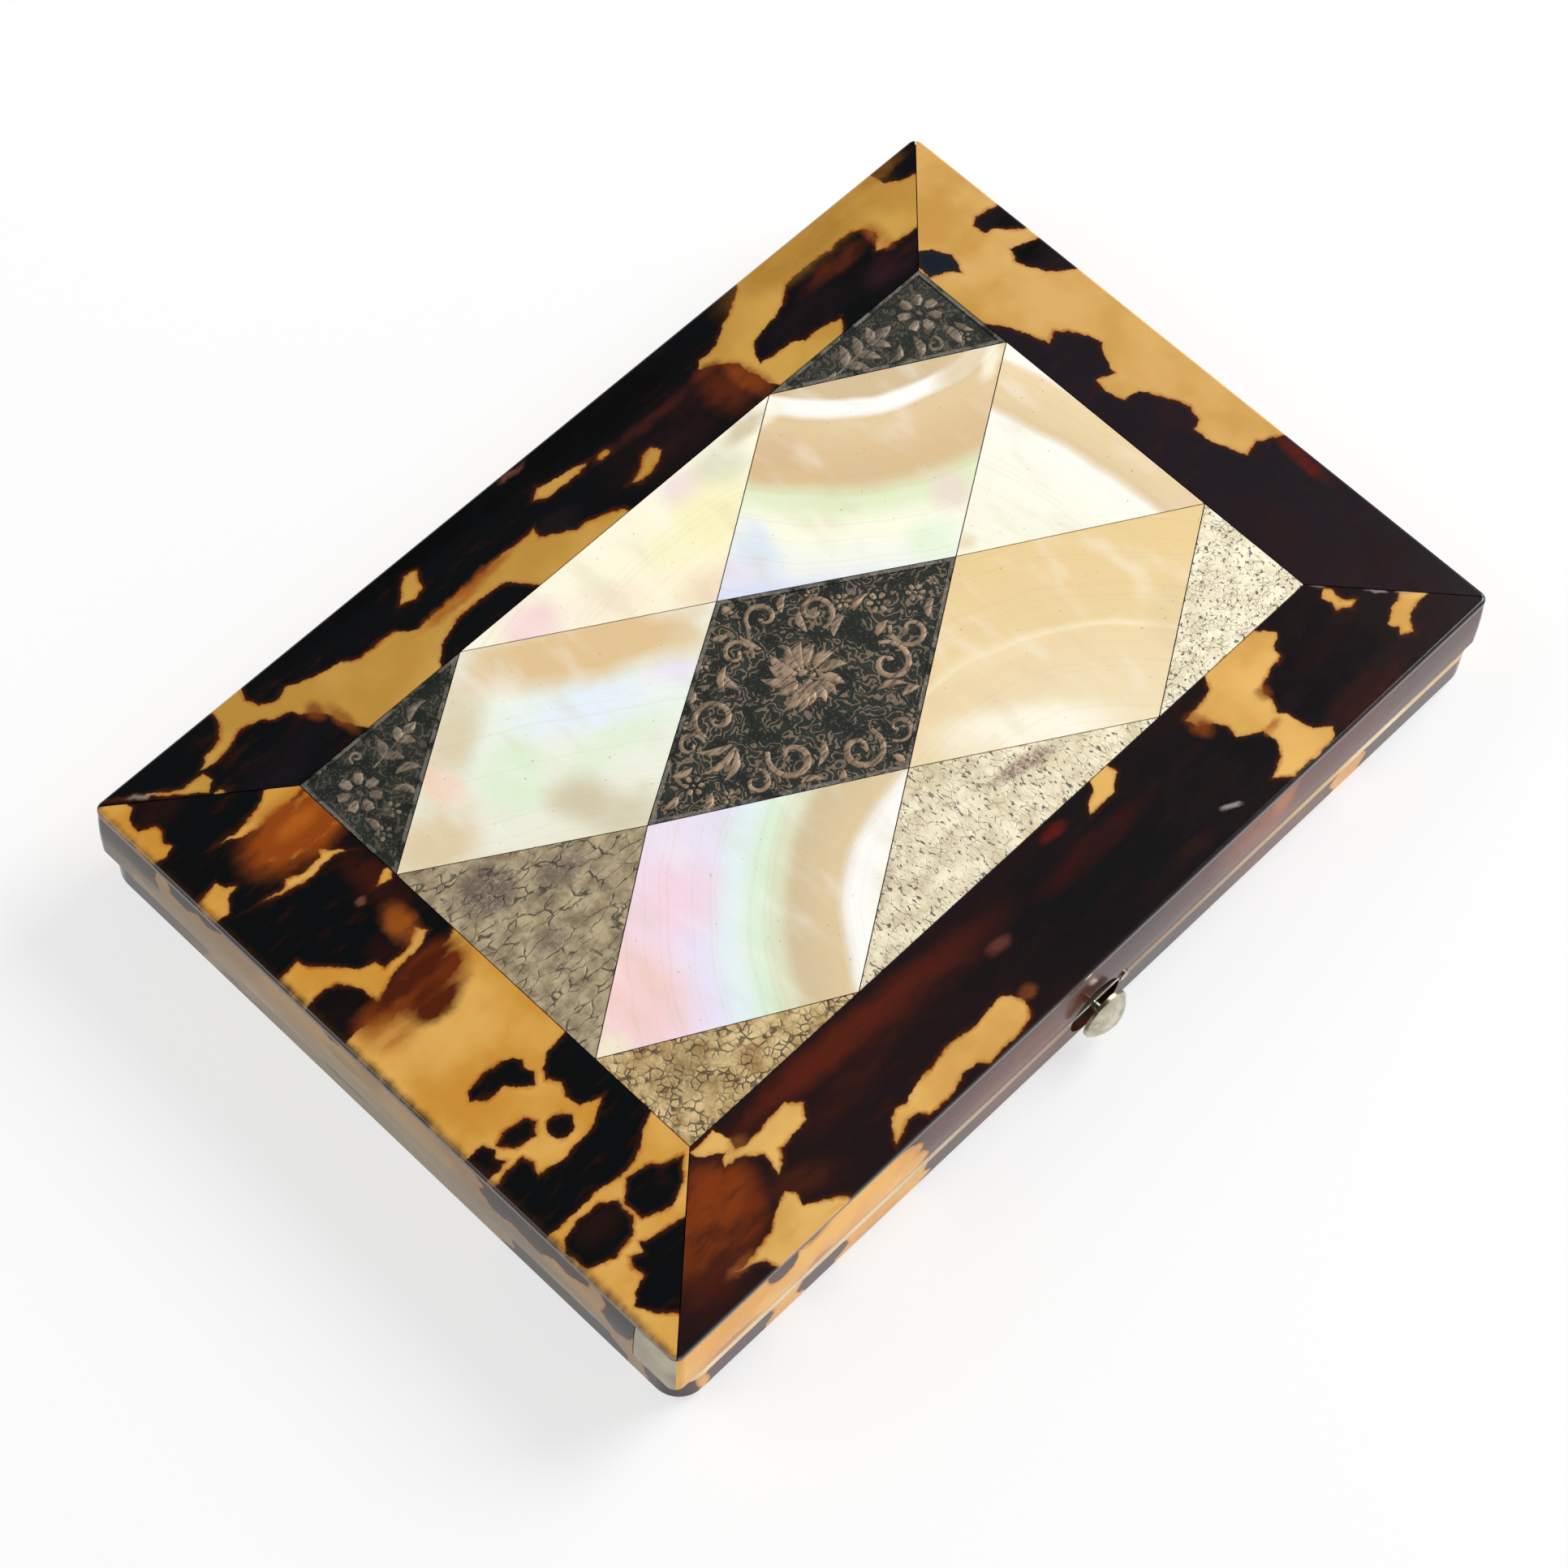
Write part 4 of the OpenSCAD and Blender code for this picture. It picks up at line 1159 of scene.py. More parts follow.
BACK_STRIP = Tortoiseshell(
    "shell_back_strip", Plane.TOP, ground=-3.0,
    honey=patches(
        (-48.6, 34.6, -45.2, 31.8, -43.6, 30.5, -42.6, 31.2, -42.6, 32.2, -45, 32.3, -47.1, 33.6),
        (-42.5, 32.6, -41.1, 32.2, -39.6, 32.5, -37.6, 33.2, -35.7, 32.9, -34.6, 32, -33, 31.4,
         -32.5, 30.6, -31.4, 29.9, -30.6, 28.6, -30.4, 27.2, -29.2, 25.6, -29, 25, -20.4, 25,
         -20.2, 25.9, -18.4, 27.2, -16.1, 28.1, -13, 28.1, -10.1, 27.8, -9.2, 26.6, -8.2, 25.4,
         -8, 24.8, 3.4, 24.8, 3, 25.9, 1.4, 26.6, 0, 27.1, -1.9, 27.4, -3.4, 28.3, -4.8, 29.1,
         -4.4, 30, -8.4, 30.1, -12.6, 29.9, -16.1, 29.9, -19.2, 29.7, -20.3, 30.3, -21.1, 31.1,
         -25, 31.2, -26.5, 32.1, -28, 32.3, -30, 32.8, -31.7, 33.6, -33, 33.1, -34.6, 33.9,
         -35, 35.1, -34.5, 36.8, -38, 36.8, -38.2, 35.6, -38.4, 34.6, -39.4, 33.7, -41.5, 33.2),
        (-18.6, 32.7, -17.1, 32.1, -15.9, 32.6, -15.7, 33.4, -15.1, 34.3, -16.5, 34.6,
         -17.5, 33.5),
        (-2.4, 32.3, -1.3, 31.7, 0, 31.6, 2.7, 31.4, 3.8, 31.9, 1.5, 32.5, -1.1, 33),
        (5.4, 27.4, 6.3, 26.9, 8.8, 27.3, 9.9, 28, 9.4, 28.9, 8.1, 28.7, 7.3, 28),
        (18.6, 32, 20, 31.2, 21, 30.5, 21.8, 29.7, 21.7, 28.4, 22.3, 27.4, 22.1, 26.4, 23, 25,
         30.9, 25, 31.7, 26, 32.2, 26.7, 30.8, 27.1, 28.1, 27.4, 26.9, 28.1, 24.6, 28.1,
         23.3, 28.5, 23.5, 29.5, 24.6, 30.5, 26.9, 31, 29.6, 31.6, 30.4, 32.4, 31.5, 33,
         33.8, 33.2, 36.9, 32.9, 40.3, 33, 41.1, 32.4, 41.7, 31.2, 40.2, 29.8, 41.2, 29.2,
         44.5, 29, 46, 28.2, 51, 33, 49.6, 33.2, 47.6, 33.8, 46.5, 34.7, 45.9, 36.8, 28.4, 36.8,
         27.7, 35.9, 26.5, 35.1, 25, 34.3, 23.1, 33.5, 21.5, 32.6, 19.6, 32.5),
    )
    + spots((-43.2, 29.7, 0.7, 0.3, -15), (5.6, 31.4, 0.7, 0.3)),
    deep=tints(
        ((1, 1, 2), 0.95, (-8, 35.6, 24, 1.7)), ((3, 2, 2), 0.95, (8, 34.6, 14, 2.4)),
        ((34, 16, 18), 0.95, (13, 28.6, 9, 3.4)), ((66, 26, 20), 0.8, (12, 31.2, 5.5, 0.7)),
        ((84, 34, 14), 0.95, (19.2, 28.6, 2.8, 3)), ((134, 66, 20), 1.0, (21.2, 28.4, 1.3, 3)),
        ((84, 34, 16), 0.9, (36.4, 31.2, 4.8, 1.0)), ((26, 14, 18), 0.8, (30, 29, 6, 2)),
        ((48, 22, 30), 0.7, (40.5, 27.6, 4, 1.5)), ((22, 17, 22), 0.8, (-36.5, 28, 6, 2.4)),
        ((26, 20, 24), 0.7, (-3, 29, 3, 1.6)),
    ),
    over=tints(
        ((150, 78, 20), 0.85, (-15, 29.4, 4.2, 0.7)),
        ((146, 76, 22), 0.8, (-10.5, 29.8, 3.2, 0.6)), ((116, 56, 18), 0.8, (-31.4, 30, 0.9, 1.2)),
        ((124, 64, 22), 0.7, (-30.2, 27.8, 0.8, 2.0)),
        ((118, 50, 16), 0.9, (21.4, 28.3, 1.2, 2.6, 20)),
        ((90, 38, 16), 0.8, (19, 31.3, 1.8, 0.7)), ((150, 84, 26), 0.75, (41.6, 31.0, 1.1, 1.9)),
        ((120, 70, 56), 0.8, (-1.8, 35.8, 1.6, 0.35)), ((150, 90, 30), 0.5, (46, 35.9, 4, 0.8)),
        ((150, 106, 38), 0.6, (36, 35, 10, 2.4)), ((60, 30, 12), 0.85, (0, 37.2, 90, 0.8)),
        # Thin grey streak along the near back mitre: painted highlight.
        ((140, 134, 124), 0.8, (-48.1, 34.2, 1.1, 0.25, -38)),
    ),
    base=Tone(6, 8, 10), pale=Tone(200, 156, 76), rich=Tone(184, 138, 60),
    edge=FRAME_EDGE, seed=2.1,
)
NEAR_STRIP = Tortoiseshell(
    "shell_near_strip", Plane.TOP, ground=-3.0,
    dark=patches(
        (-46.8, -7.9, -44.6, -8, -44.2, -8.9, -42.8, -9.7, -41.8, -8.8, -42.4, -7.9, -41.9, -7.2,
         -42.3, -6.5, -44.8, -5.9, -47.2, -6.1, -47.8, -7),
        (-41, -11.2, -41.6, -12.3, -41.4, -13.8, -39.5, -14.5, -42, -16, -46, -16.3, -48.2, -15.8,
         -47.7, -14.8, -48.2, -13.7, -50, -13.7, -53, -14.6, -53, -20.6, -48, -20.5, -45.5, -20.4,
         -43.4, -20.9, -41, -20.4, -39, -19, -36.5, -18, -36.5, -7.9, -39.8, -8.3, -41, -9,
         -41.8, -10),
        (-48, -12.8, -46, -13.1, -45, -12.2, -45.5, -11.2, -47.8, -11.1, -49, -11.5),
        (-53, -13, -50.2, -13.4, -49.3, -13, -49.8, -12.3, -49.3, -11.7, -49.6, -10.7, -53, -10.4),
        (-45.1, -13.6, -44.9, -14.7, -44, -15.1, -43, -14.8, -42.5, -14, -42.8, -13.2,
         -43.8, -12.8, -44.6, -13),
        (-51.2, -24.8, -49, -25.8, -46.4, -25.3, -45.3, -24.2, -45.2, -22.2, -46.4, -21.2,
         -49, -21.1, -50.8, -21.6, -51.6, -22.6),
        (-44.9, -24.6, -43.5, -25.5, -42.2, -25.8, -40.2, -25, -38.4, -23.1, -40.2, -22.5,
         -41.2, -21.5, -43.3, -21.3, -45, -22.6),
        (-48.3, -28.5, -50, -29, -50.8, -30, -50, -31.5, -48.2, -33.4, -42, -34, -42, -27.2,
         -45.5, -26.6, -46.5, -26, -47, -27, -48, -26.4, -48.6, -27.4),
    ),
    honey=patches(
        (-44.8, 22.3, -44.2, 21.4, -42.5, 20.5, -39.5, 20.1, -37, 20.4, -37, 24.6, -41, 24.4,
         -43.2, 23.6),
        (-53, 28.8, -50.5, 28.2, -49.5, 28.6, -49.8, 29.5, -49, 30.4, -49.2, 31.2, -50.5, 31.8,
         -50.4, 33.2, -49.3, 34, -49.6, 35.4, -53, 36.5),
        (-46, 25.9, -44, 25, -41, 24.7, -37, 24.9, -37, 26.4, -40, 27.2, -41.8, 26.2, -44.4, 25.8),
        (-53, 20.6, -50.2, 20.5, -49.2, 21.6, -48.1, 22, -49, 22.5, -49.2, 23.3, -53, 22.9),
        (-47, 19.1, -45.5, 18.6, -44, 18.1, -40, 18.3, -39, 17.9, -39.8, 18.8, -40.6, 19.7,
         -41, 18.9, -43.5, 18.9, -44.5, 19.5, -45.3, 18.9),
        (-53, 9, -49.5, 9.3, -48, 8.8, -47, 7, -46.8, 5.2, -44, 6.3, -41, 6.6, -39.2, 7.2,
         -39.8, 8.2, -41.2, 7.2, -44.3, 7.1, -44.5, 8.2, -46, 8.7, -47.5, 10.5, -48.7, 11.5,
         -49.2, 12.9, -53, 12.6),
        (-39.4, 13.5, -38, 13.2, -37, 14, -38, 14.2),
        (-53, -40, -36, -24, -37, 6, -38.4, 5.4, -41, 5, -44, 5.4, -47.2, 5, -49, 4.4, -53, 4.4),
    ),
    deep=tints(
        ((34, 12, 12), 0.9, (-48, 32.4, 3, 2)), ((60, 20, 10), 0.9, (-39, 14.5, 1.9, 5)),
        ((52, 18, 10), 0.8, (-40.5, 20.5, 3.4, 1.4)), ((70, 26, 10), 0.9, (-43, 23.8, 3.4, 1.0)),
        ((36, 16, 10), 0.8, (-48, -22.7, 2.6, 1.9)), ((40, 14, 10), 0.8, (-43, 8.7, 2, 1.6)),
        ((30, 12, 10), 0.7, (-49.4, 7, 2, 2)), ((50, 20, 10), 0.7, (-42.5, 5.6, 4, 0.9)),
        ((20, 9, 8), 0.6, (-46, -12, 6, 2.4)),
    ),
    over=tints(
        ((142, 66, 14), 1.7, (-40.4, 22.4, 5.6, 3.0)),
        ((178, 94, 24), 0.8, (-40.2, 22.8, 2.6, 1.0)),
        ((104, 42, 8), 1.7, (-42.4, 3.5, 4.4, 2.6, 12)),
        ((116, 52, 12), 1.3, (-46.8, 4, 3.4, 1.5, -10)),
        ((82, 30, 6), 1.5, (-43.4, 1.9, 2.4, 1.8)), ((74, 26, 8), 1.4, (-43, 4.8, 5, 0.9)),
        ((166, 100, 36), 0.8, (-48.4, 2.4, 2.6, 1.8, -25)),
        ((48, 26, 12), 1.0, (-52.2, 0, 1.1, 60)),
        ((150, 78, 22), 0.9, (-40.4, 9.4, 1.5, 2.3, -10)),
        ((124, 78, 54), 0.7, (-41.4, 13.3, 0.6, 0.5)),
    ),
    base=Tone(4, 7, 8), pale=Tone(222, 170, 86), rich=Tone(202, 142, 52),
    edge=FRAME_EDGE, seed=3.7,
)
FAR_STRIP = Tortoiseshell(
    "shell_far_strip", Plane.TOP, ground=3.0,
    dark=patches(
        (41.6, 24, 43, 23.5, 44.3, 22.4, 45, 24.5, 44, 26.2, 42.8, 26.9, 41.6, 25.8),
        (49, 24.1, 50.2, 23.5, 51.5, 22.2, 54, 21, 54, 25.2, 51.3, 25.6, 49.8, 25.9, 49, 25.3),
        (49.2, 18.3, 50, 16.8, 51.3, 15.8, 54, 14, 54, 19.4, 50.5, 20.7, 49.5, 21, 48.8, 19.8),
        (40, -38, 54, -38, 54, -12, 51.3, -10.5, 50, -9.7, 48.3, -10, 47.8, -9, 47, -7, 46.9, -4.8,
         48, -4.5, 48.5, -2.3, 47.6, -1, 47.2, 0, 46.3, 1.6, 44.6, 2, 44, 3.7, 44.3, 5.3,
         46.2, 4.6, 46.8, 6.5, 47.9, 7.7, 47.5, 9.2, 46.5, 10.7, 45.6, 11.7, 44.2, 11.2, 43.5, 13,
         42.8, 15, 41.4, 17, 40, 17.5),
    ),
    deep=tints(
        ((18, 30, 40), 0.95, (43.4, 24.8, 2.6, 3.4)), ((3, 3, 3), 0.95, (50.6, 21.5, 2.8, 6)),
        ((88, 26, 12), 0.9, (51.7, -14, 0.9, 3.6)), ((44, 24, 28), 0.7, (47, -2.4, 2, 2.4)),
        ((40, 20, 24), 0.7, (44, -20, 3, 9)), ((36, 16, 16), 0.7, (49, -27, 3, 5)),
        ((24, 20, 26), 0.6, (47, -12, 4, 3)),
    ),
    base=Tone(29, 22, 27), pale=Tone(216, 170, 100), rich=Tone(196, 148, 72),
    edge=FRAME_EDGE, seed=4.9,
)
LID_FRONT = Tortoiseshell(
    "shell_lid_front", Plane.LONG_SIDE, ground=-3.0,
    honey=spots((-38, 9, 15.8, 5), (-51, 9, 7, 6), (-28, 6.5, 6.6, 3)),
    dark=spots((-39.2, 11.6, 1.9, 2.2), (-36, 12.3, 2.2, 0.9)),
    deep=tints(
        ((120, 60, 44), 0.8, (-10, 7, 8, 4)), ((150, 78, 44), 0.8, (22, 9, 6, 5)),
        ((96, 40, 30), 0.7, (33, 9, 8, 5)), ((44, 26, 28), 0.7, (6, 10, 6, 4)),
        ((60, 40, 34), 0.7, (45, 9, 6, 5)),
    ),
    over=tints(
        ((150, 92, 44), 0.7, (-45, 5.8, 3.4, 0.8)), ((150, 92, 44), 0.7, (-34.6, 5.9, 1.4, 0.7)),
        ((140, 70, 40), 0.7, (-35.4, 12, 2, 1.4)), ((190, 112, 50), 0.7, (24.6, 11, 1.8, 3)),
    ),
    base=Tone(82, 42, 38), pale=Tone(250, 188, 80), rich=Tone(236, 164, 58), gloss=0.14,
    seed=5.3,
)
BASE_FRONT = Tortoiseshell(
    "shell_base_front", Plane.LONG_SIDE, ground=-3.0,
    honey=patches(
        (-36.9, -1, -36.4, 1.2, -37.4, 2.6, -36.6, 4.2, -37.2, 7, -40.4, 7, -40.8, 4.4, -40.1, 3,
         -41, 1.6, -40.9, -1),
        (-48.3, -1, -47.8, 2, -48.2, 3.4, -48.1, 7, -49.2, 7, -49.5, 3, -49, 1.4, -49.4, -1),
        (-21.8, -1, -22.4, 0.8, -20.6, 1.8, -21.6, 3, -21, 4.6, -22.4, 7, -30.4, 7, -31.6, 4.4,
         -31, 2.6, -32.6, 1.4, -32.2, -1),
        (37.2, -1, 36.6, 1.4, 37.4, 3.2, 36.2, 4.4, 36.4, 7, 32.8, 7, 33, 4.2, 32, 3, 32.9, 1.2,
         32.2, -1),
    ),
    deep=tints(
        ((120, 62, 44), 0.8, (-8, 2, 8, 3)), ((130, 70, 44), 0.8, (25, 2, 8, 3)),
        ((66, 28, 18), 1.4, (-45, 1.6, 9, 3)), ((64, 44, 36), 0.8, (44, 2, 8, 4)),
        ((46, 34, 36), 0.6, (10, 2, 8, 3)),
    ),
    over=tints(((170, 112, 60), 0.6, (-28.3, 0.8, 1.5, 0.7)),),
    base=Tone(74, 42, 38), pale=Tone(246, 182, 76), rich=Tone(222, 150, 52), gloss=0.14,
    seed=6.1,
)
# Near side of the lid: darker honey with an olive-grey band, painted shade of the side that faces
# away from the key lamp.
LID_NEAR_SHADED = Tortoiseshell(
    "shell_lid_near_shaded", Plane.SHORT_SIDE, ground=1.2,
    dark=patches(
        (27.6, 13.4, 28.4, 10.2, 27.9, 8.4, 29.6, 6.9, 31.2, 7.6, 32.4, 4.6, 39, 4.4, 39, 13.6),
        (19.2, 13.4, 20, 11.2, 21.6, 10.4, 22.8, 10.8, 24.4, 9.8, 26.4, 10.2, 27.2, 13.4),
        (4.2, 13.4, 4.8, 11.6, 6, 11.1, 7.2, 11.9, 7.6, 13.4),
        (-26, 13.4, -25.4, 10.6, -23, 9.4, -21.4, 9.9, -19.6, 8.3, -16.4, 8.9, -14.2, 8.2,
         -12.4, 9.8, -13, 11, -11.2, 12, -11, 13.4),
        (-31.4, 13.4, -31.2, 9.6, -30.2, 7.6, -28.8, 7, -27.2, 8.4, -27.6, 10.6, -26.8, 12,
         -27, 13.4),
    ),
    deep=tints(((64, 50, 42), 0.8, (-18, 10, 9, 4)), ((60, 46, 40), 0.8, (31, 9, 6, 4))),
    over=tints(
        ((122, 104, 74), 0.8, (28, 7, 10, 2)), ((126, 106, 74), 0.8, (4, 6.6, 12, 1.6)),
        ((112, 98, 74), 0.8, (-16, 6.6, 14, 1.8)), ((110, 84, 50), 0.6, (4, 9.4, 3, 1)),
        ((140, 108, 62), 0.6, (14, 8, 6, 2)),
    ),
    base=Tone(44, 38, 34), pale=Tone(160, 128, 84), rich=Tone(138, 108, 70), gloss=0.14, seed=7.7,
)
# Near side of the base: darker honey and grey band, painted shade of the side that faces away from
# the key lamp.
BASE_NEAR_SHADED = Tortoiseshell(
    "shell_base_near_shaded", Plane.SHORT_SIDE, ground=1.0,
    dark=patches(
        (38.4, -1, 37.2, 3.4, 35, 5.2, 33, 4.4, 29.4, 5.4, 27.6, 4.1, 25, 4.6, 22.6, 3.2,
         23.6, 1.6, 22.4, -1),
        (22.2, -1, 21.4, 1.4, 19.6, 2.6, 18, 1.5, 16.2, 1.9, 14.4, 1, 13.6, -1),
        (2, 3.4, 3.4, 2.7, 5.2, 3, 6.8, 2.6, 8.2, 3.6, 7, 4.6, 4.6, 4.9, 2.8, 4.4),
        (-14, -1, -14, 1, -16.2, 2.2, -15.6, 3.8, -18.6, 5.2, -20.6, 4.4, -23.6, 5.6, -27.2, 5,
         -28, 3.1, -29.8, 2.2, -30, -1),
        (-40, -1, -31.6, -1, -32.4, 1.4, -31.6, 3.2, -33, 4.8, -40, 6.4),
    ),
    over=tints(((120, 104, 76), 0.8, (10, 2, 20, 3)),),
    base=Tone(44, 38, 34), pale=Tone(150, 126, 90), rich=Tone(130, 108, 76), gloss=0.14, seed=8.9,
)


def clouded(name: str, plane: Plane, ground: float, seed: float) -> Tortoiseshell:
    """Gives shell for a side that the photograph doesn't show, clouded by chance."""
    return Tortoiseshell(name, plane, ground, cloud=26.0, cloud_size=0.11, seed=seed)


@dataclass
class ShellBody:
    """The veneered trays of base and lid, with their bone edging."""

    patch_pale: Tone = Tone(186, 176, 150)
    patch_aged: Tone = Tone(140, 128, 100)
    # Darker bone for the near side's rim: painted shade of the side that faces away from the key
    # lamp.
    shaded_near_pale: Tone = Tone(190, 168, 128)
    shaded_near_aged: Tone = Tone(150, 128, 90)
    # Darker across the middle of the front rim.
    dull_middle: Tint = Tint(Tone(128, 92, 70), Spot(2, 5.4, 26, 4), 0.8)

    def build(self) -> None:
        """Dresses the trays, veneers and edging."""
        shells = {
            "lid_front_veneer": LID_FRONT,
            "base_front_veneer": BASE_FRONT,
            "lid_left_veneer": LID_NEAR_SHADED,
            "base_left_veneer": BASE_NEAR_SHADED,
            "lid_right_veneer": clouded("shell_lid_far", Plane.SHORT_SIDE, -1.2, 11.0),
            "base_right_veneer": clouded("shell_base_far", Plane.SHORT_SIDE, -1.0, 12.5),
            "lid_back_veneer": clouded("shell_lid_back", Plane.LONG_SIDE, -0.6, 14.0),
            "base_back_veneer": clouded("shell_base_back", Plane.LONG_SIDE, 0.2, 15.5),
            "base_under_veneer": clouded("shell_underside", Plane.TOP, 0.0, 17.0),
        }
        for node, finish in shells.items():
            dress(node, finish.material())
        front_bone = Bone("bone_front", Plane.LONG_SIDE, tints=(self.dull_middle,))
        long_bone = Bone("bone_long", Plane.LONG_SIDE)
        short_bone = Bone("bone_short", Plane.SHORT_SIDE, seed=3.0)
        shaded_near_bone = Bone("bone_near_shaded", Plane.SHORT_SIDE, self.shaded_near_pale, self.shaded_near_aged, seed=4.0)
        edging = {
            "base_rim_front": front_bone,
            "base_rim_back": long_bone,
            "base_rim_right": short_bone,
            "base_rim_left": shaded_near_bone,
        }
        for node, bone in edging.items():
            dress(node, bone.material())
        patch = Bone("bone_patch", Plane.SHORT_SIDE, self.patch_pale, self.patch_aged, seed=5.0)
        dress("lid_corner_patch", patch.material())
        dress("base_tray", Carcass("carcass_wood").material())
        dress("lid_tray", Carcass("carcass_wood_lid", seed=4.0).material())


@dataclass
class TopFrame:
    """The four mitred shell strips round the inlay."""

    def build(self) -> None:
        """Dresses the strips."""
        strips = {
            "frame_front": FRONT_STRIP,
            "frame_back": BACK_STRIP,
            "frame_left": NEAR_STRIP,
            "frame_right": FAR_STRIP,
        }
        for node, finish in strips.items():
            dress(node, finish.material())


# ---------------------------------------------------------------- inlay

CREAM = (253, 249, 226)
WHITE = (255, 253, 247)
TAN = (228, 197, 148)
GREEN = (222, 243, 208)
LILAC = (236, 230, 244)
PINK = (250, 210, 206)

PEARLS = {
    "pearl_lozenge_near_back": Pearl(
        "pearl_near_back", (-60.0, -60.0),
        bands((70, 228, 208, 168), (76, 240, 240, 222), (88, 238, 246, 232), (110, *WHITE)),
        tints(
            (GREEN, 0.8, (-23.5, 13, 4, 3.6)), (GREEN, 0.5, (-14, 9.4, 7, 2.4)),
            ((234, 244, 255), 0.9, (-13.5, 13.4, 8, 3, -28)),
            (LILAC, 0.8, (-5.8, 10.6, 3, 1.6, -28)),
            ((224, 208, 174), 0.9, (-24.5, 20, 7.5, 2.6, 30)),
            ((226, 206, 168), 0.95, (-33.4, 12.8, 5.4, 3.8)),
            ((248, 214, 190), 0.85, (-28.6, 16.6, 1.5, 2.8, -12)),
            ((208, 194, 160), 0.85, (-21, 7, 2.6, 4, 14)),
            ((214, 206, 178), 0.85, (-18.6, 3.2, 3.4, 2.4)),
            (TAN, 1.1, (-10.2, 18.1, 15, 3.5, -31.5)),
        ),
        seed=1.0,
    ),
    "pearl_lozenge_near_front": Pearl(
        "pearl_near_front", (2.7, -32.8),
        bands(
            (15, *CREAM), (18.4, 252, 252, 234), (20.2, *WHITE), (21.3, *WHITE),
            (22.8, 224, 200, 158), (26.4, 214, 194, 156), (28.2, 224, 226, 196),
            (29.6, 222, 242, 214), (31.8, 230, 244, 244), (34.4, 236, 230, 250),
            (38.0, 246, 224, 240), (46, 251, 216, 212),
        ),
        tints(
            (PINK, 0.9, (-31, -9.6, 5, 6.5)), ((251, 212, 222), 0.6, (-21.5, -5.6, 4.6, 4)),
            (LILAC, 0.6, (-17, -0.5, 4, 3)), ((246, 238, 206), 0.95, (-36, -11.7, 1.9, 1.6)),
        ),
        seed=2.0,
    ),
    "pearl_lozenge_far_back": Pearl(
        "pearl_far_back", (38.0, 36.0),
        bands(
            (15, 214, 192, 154), (19.6, 214, 190, 150), (20.3, *WHITE), (21.4, *WHITE),
            (22.2, 228, 202, 158), (28.4, 220, 190, 144), (31.0, 228, 238, 200),
            (34.0, 252, 252, 228), (37.0, 246, 248, 236), (41.0, 220, 226, 248),
        ),
        tints(
            (LILAC, 0.8, (5, 14, 2.6, 2)), ((220, 232, 248), 0.8, (8.6, 14.6, 2.4, 4, -20)),
            ((236, 216, 204), 0.8, (25.6, 6.2, 2.4, 2.4)), (GREEN, 0.75, (20.8, 4, 3, 2.6)),
            ((224, 200, 158), 0.8, (37, 15, 4, 1.6)), (CREAM, 0.8, (38.8, 13.6, 2.2, 0.8, 28)),
            (CREAM, 0.8, (19.4, 23.8, 1.8, 1)), ((214, 184, 142), 0.6, (17, 20, 3, 2.6)),
        ),
        seed=3.0,
    ),
    "pearl_half_far": Pearl(
        "pearl_half_far", (-28.3, -9.1),
        bands(
            (48, 250, 247, 222), (60, 250, 248, 230), (65.4, 251, 250, 238), (66.7, 226, 202, 162),
            (68.4, 232, 208, 164), (71.0, 238, 214, 172), (71.9, 252, 250, 240),
        ),
        tints(
            ((232, 214, 178), 0.8, (23, 1.5, 1.2, 1)),
            ((238, 236, 204), 0.4, (27, 1, 0.6, 2.6, -20)), ((226, 204, 172), 0.5, (40, -9, 2, 2)),
        ),
        seed=4.0,
    ),
    "pearl_lozenge_far_front": Pearl(
        "pearl_far_front", (8.4, -32.6),
        bands(
            (10, 242, 228, 194), (20, 239, 220, 180), (25.4, 238, 214, 168), (25.9, 246, 228, 188),
            (26.6, 236, 210, 158), (38, 235, 206, 148),
        ),
        tints(
            # Broad soft white: painted highlight.
            ((254, 249, 228), 0.95, (12.6, -15.6, 8.5, 2.9, -36)),
            ((244, 226, 186), 0.5, (15, -8, 6, 1.6, -20)),
            ((228, 204, 160), 0.5, (31, -16, 4, 2, 30)),
        ),
        seed=5.0,
    ),
    "pearl_half_back": Pearl(
        "pearl_half_back", (2.0, -40.0),
        bands((52, 246, 224, 198), (58, 254, 246, 214), (63, 255, 250, 222), (67, *CREAM)),
        tints(
            ((249, 216, 218), 0.85, (-12, 22.6, 3.2, 3.4, -30)),
            ((250, 232, 214), 0.6, (-5.5, 20, 4, 2.2, -30)),
            ((240, 218, 222), 0.8, (8.4, 23.4, 2.6, 2)),
            ((218, 218, 192), 0.8, (12.6, 22.8, 3, 2.6)),
            ((250, 244, 186), 0.7, (7, 19.8, 6.5, 3.4)),
            ((206, 188, 156), 0.8, (17, 24.4, 3.4, 1.2)), ((244, 222, 190), 0.6, (2, 15, 3, 1.6)),
        ),
        seed=6.0,
    ),
}

